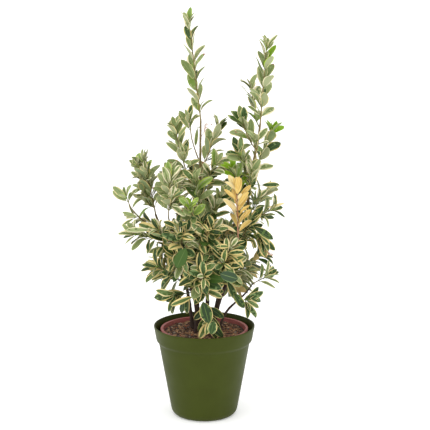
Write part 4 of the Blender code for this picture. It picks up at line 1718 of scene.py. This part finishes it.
def chip_shape(size, thickness, rng):
    """A slab of four rings: two full ones in the middle, and smaller ones above and below."""
    corners = rng.randint(*CHIP_CORNERS)
    stretch = rng.uniform(*CHIP_STRETCH)
    reaches = [size / 2 * rng.uniform(*CHIP_RAGGED) for _ in range(corners)]
    places = []
    for scale, height in CHIP_RINGS:
        for k, reach in enumerate(reaches):
            turn = 2 * math.pi * k / corners
            places.append((reach * scale * math.cos(turn), reach * scale * stretch * math.sin(turn),
                           height * thickness))
    top = (len(CHIP_RINGS) - 1) * corners
    faces = [tuple(reversed(range(corners))), tuple(range(top, top + corners))]
    for low in range(0, top, corners):
        high = low + corners
        for k in range(corners):
            following = (k + 1) % corners
            faces.append((low + k, low + following, high + following, high + k))
    return np.array(places), faces


print("faces of a six-cornered chip:", 2 + 6 * (len(CHIP_RINGS) - 1))

# %% [markdown]
# ## Scattering the chips
#
# Chips fall anywhere on the soil but not on a stem. A square root in the distance spreads them
# evenly, because an outer ring holds more area than an inner one of the same width.

# %% Scattering the chips
CHIP_COUNT = 900
CHIP_SIZES = (3.5, 11)
CHIP_THICKNESSES = (1.2, 2.8)
CHIP_TILT = 28
CHIP_LIFT = 0.3
POT_CLEARANCE = 1.5
STEM_CLEARANCE = 6
CHIP_FINISHES = ("soil_brown_chip",) * 5 + ("soil_tan_chip",) * 3 + ("soil_dark_crumb",) * 4 + (
    "soil_red_chip", "soil_grey_chip")
stem_feet = [limb_lines[name][1] for name in limb_names if name.startswith("stem_")]

chips = Gathered("bark_chips")
rng = random.Random("bark chips")
while len(chips.places) < CHIP_COUNT:
    size = rng.uniform(*CHIP_SIZES)
    distance = (SOIL_RADIUS - POT_CLEARANCE - size / 2) * math.sqrt(rng.random())
    turn = rng.uniform(0, 2 * math.pi)
    x, y = distance * math.cos(turn), distance * math.sin(turn)
    if any(math.hypot(x - foot[0], y - foot[1]) < STEM_CLEARANCE for foot in stem_feet):
        continue
    thickness = rng.uniform(*CHIP_THICKNESSES)
    shape, faces = chip_shape(size, thickness, rng)
    spin = rng.uniform(0, 2 * math.pi)
    tilt = math.radians(rng.uniform(0, CHIP_TILT))
    tilted_y, tilted_z = turn_pair(shape[:, 1], shape[:, 2], tilt)
    spun_x, spun_y = turn_pair(shape[:, 0], tilted_y, spin)
    height = soil_height(x, y)
    places = np.stack([spun_x + x, spun_y + y, tilted_z + height + CHIP_LIFT * thickness], 1)
    chips.add(places, faces, rng.choice(CHIP_FINISHES))
chips.make("soil", rounded=False)

# %% [markdown]
# ## Floor
#
# The plant stands on matt white studio paper on a light table. It gives the eye plain white with
# no gloss. The table glows a little from below, which leaves only a faint shadow where the pot
# touches it. The paper's fibres are too fine to show, so the noise in its roughness is 4 mm wide.

# %% Floor
PAPER_IOR = 1.45
PAPER_SPECULAR = 0.2
FIBRE_CLUMP = 4
TABLE_GLOW = 0.22
FLOOR_HALF = 40.0
paper, tree, shader = new_finish("matt_studio_paper", PAPER_IOR)
place = add_node(tree, "ShaderNodeTexCoord")
fibres = add_node(tree, "ShaderNodeTexNoise", None, {
    "Vector": place.outputs["Object"], "Scale": 1 / (FIBRE_CLUMP * MM), "Detail": 2.0})
rough = add_node(tree, "ShaderNodeMapRange", None, {
    "Value": fibres.outputs["Fac"], "To Min": 0.9, "To Max": 1.0})
fill_sockets(tree, shader, {
    "Base Color": linear("#fafafa"), "Specular IOR Level": PAPER_SPECULAR,
    "Roughness": rough.outputs["Result"],
    "Emission Color": linear("#ffffff"), "Emission Strength": TABLE_GLOW})

floor_mesh = bpy.data.meshes.new("floor")
floor_corners = [(x * FLOOR_HALF, y * FLOOR_HALF, 0) for x, y in ((-1, -1), (1, -1), (1, 1), (-1, 1))]
floor_mesh.from_pydata(floor_corners, [], [(0, 1, 2, 3)])
floor_mesh.materials.append(paper)
floor = bpy.data.objects.new("floor", floor_mesh)
bpy.context.scene.collection.objects.link(floor)
floor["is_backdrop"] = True
print("floor width in metres:", 2 * FLOOR_HALF)

# %% [markdown]
# ## Light
#
# Even white light from all round gives the soft shade of a studio, and one broad lamp at each side
# lifts the sides of the pot and the edges of the leaves. A sun with a wide angle acts as a lamp
# behind a big diffuser. The view transform is the plain one, so that a colour comes out as it went
# in.

# %% Light
ROOM_LIGHT = 1.0
SOFTNESS = math.radians(90)
# Each lamp: the way that its light comes from, and its strength.
LAMPS = {
    "broad_lamp_left": ((-1.0, -0.6, 0.9), 0.75),
    "broad_lamp_right": ((1.0, -0.4, 0.8), 0.5),
}

world = bpy.data.worlds.new("studio")
world.use_nodes = True
fill_sockets(world.node_tree, world.node_tree.nodes["Background"], {
    "Color": linear("#ffffff"), "Strength": ROOM_LIGHT})
bpy.context.scene.world = world
for name, (from_way, strength) in LAMPS.items():
    lamp_data = bpy.data.lights.new(name, "SUN")
    lamp_data.energy = strength
    lamp_data.angle = SOFTNESS
    lamp = bpy.data.objects.new(name, lamp_data)
    lamp.rotation_euler = Vector(from_way).to_track_quat("Z", "Y").to_euler()
    bpy.context.scene.collection.objects.link(lamp)
bpy.context.scene.view_settings.view_transform = "Standard"
print("lamps:", len(LAMPS))

# %% [markdown]
#
# The box of the CAD model and the box of the new looks are printed together.

# %% Finish
new_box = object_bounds()
sizes = {"cad": [[float(c) for c in corner] for corner in cad_box],
         "visual": [[float(c) for c in corner] for corner in new_box]}
print("sizes:", sizes)
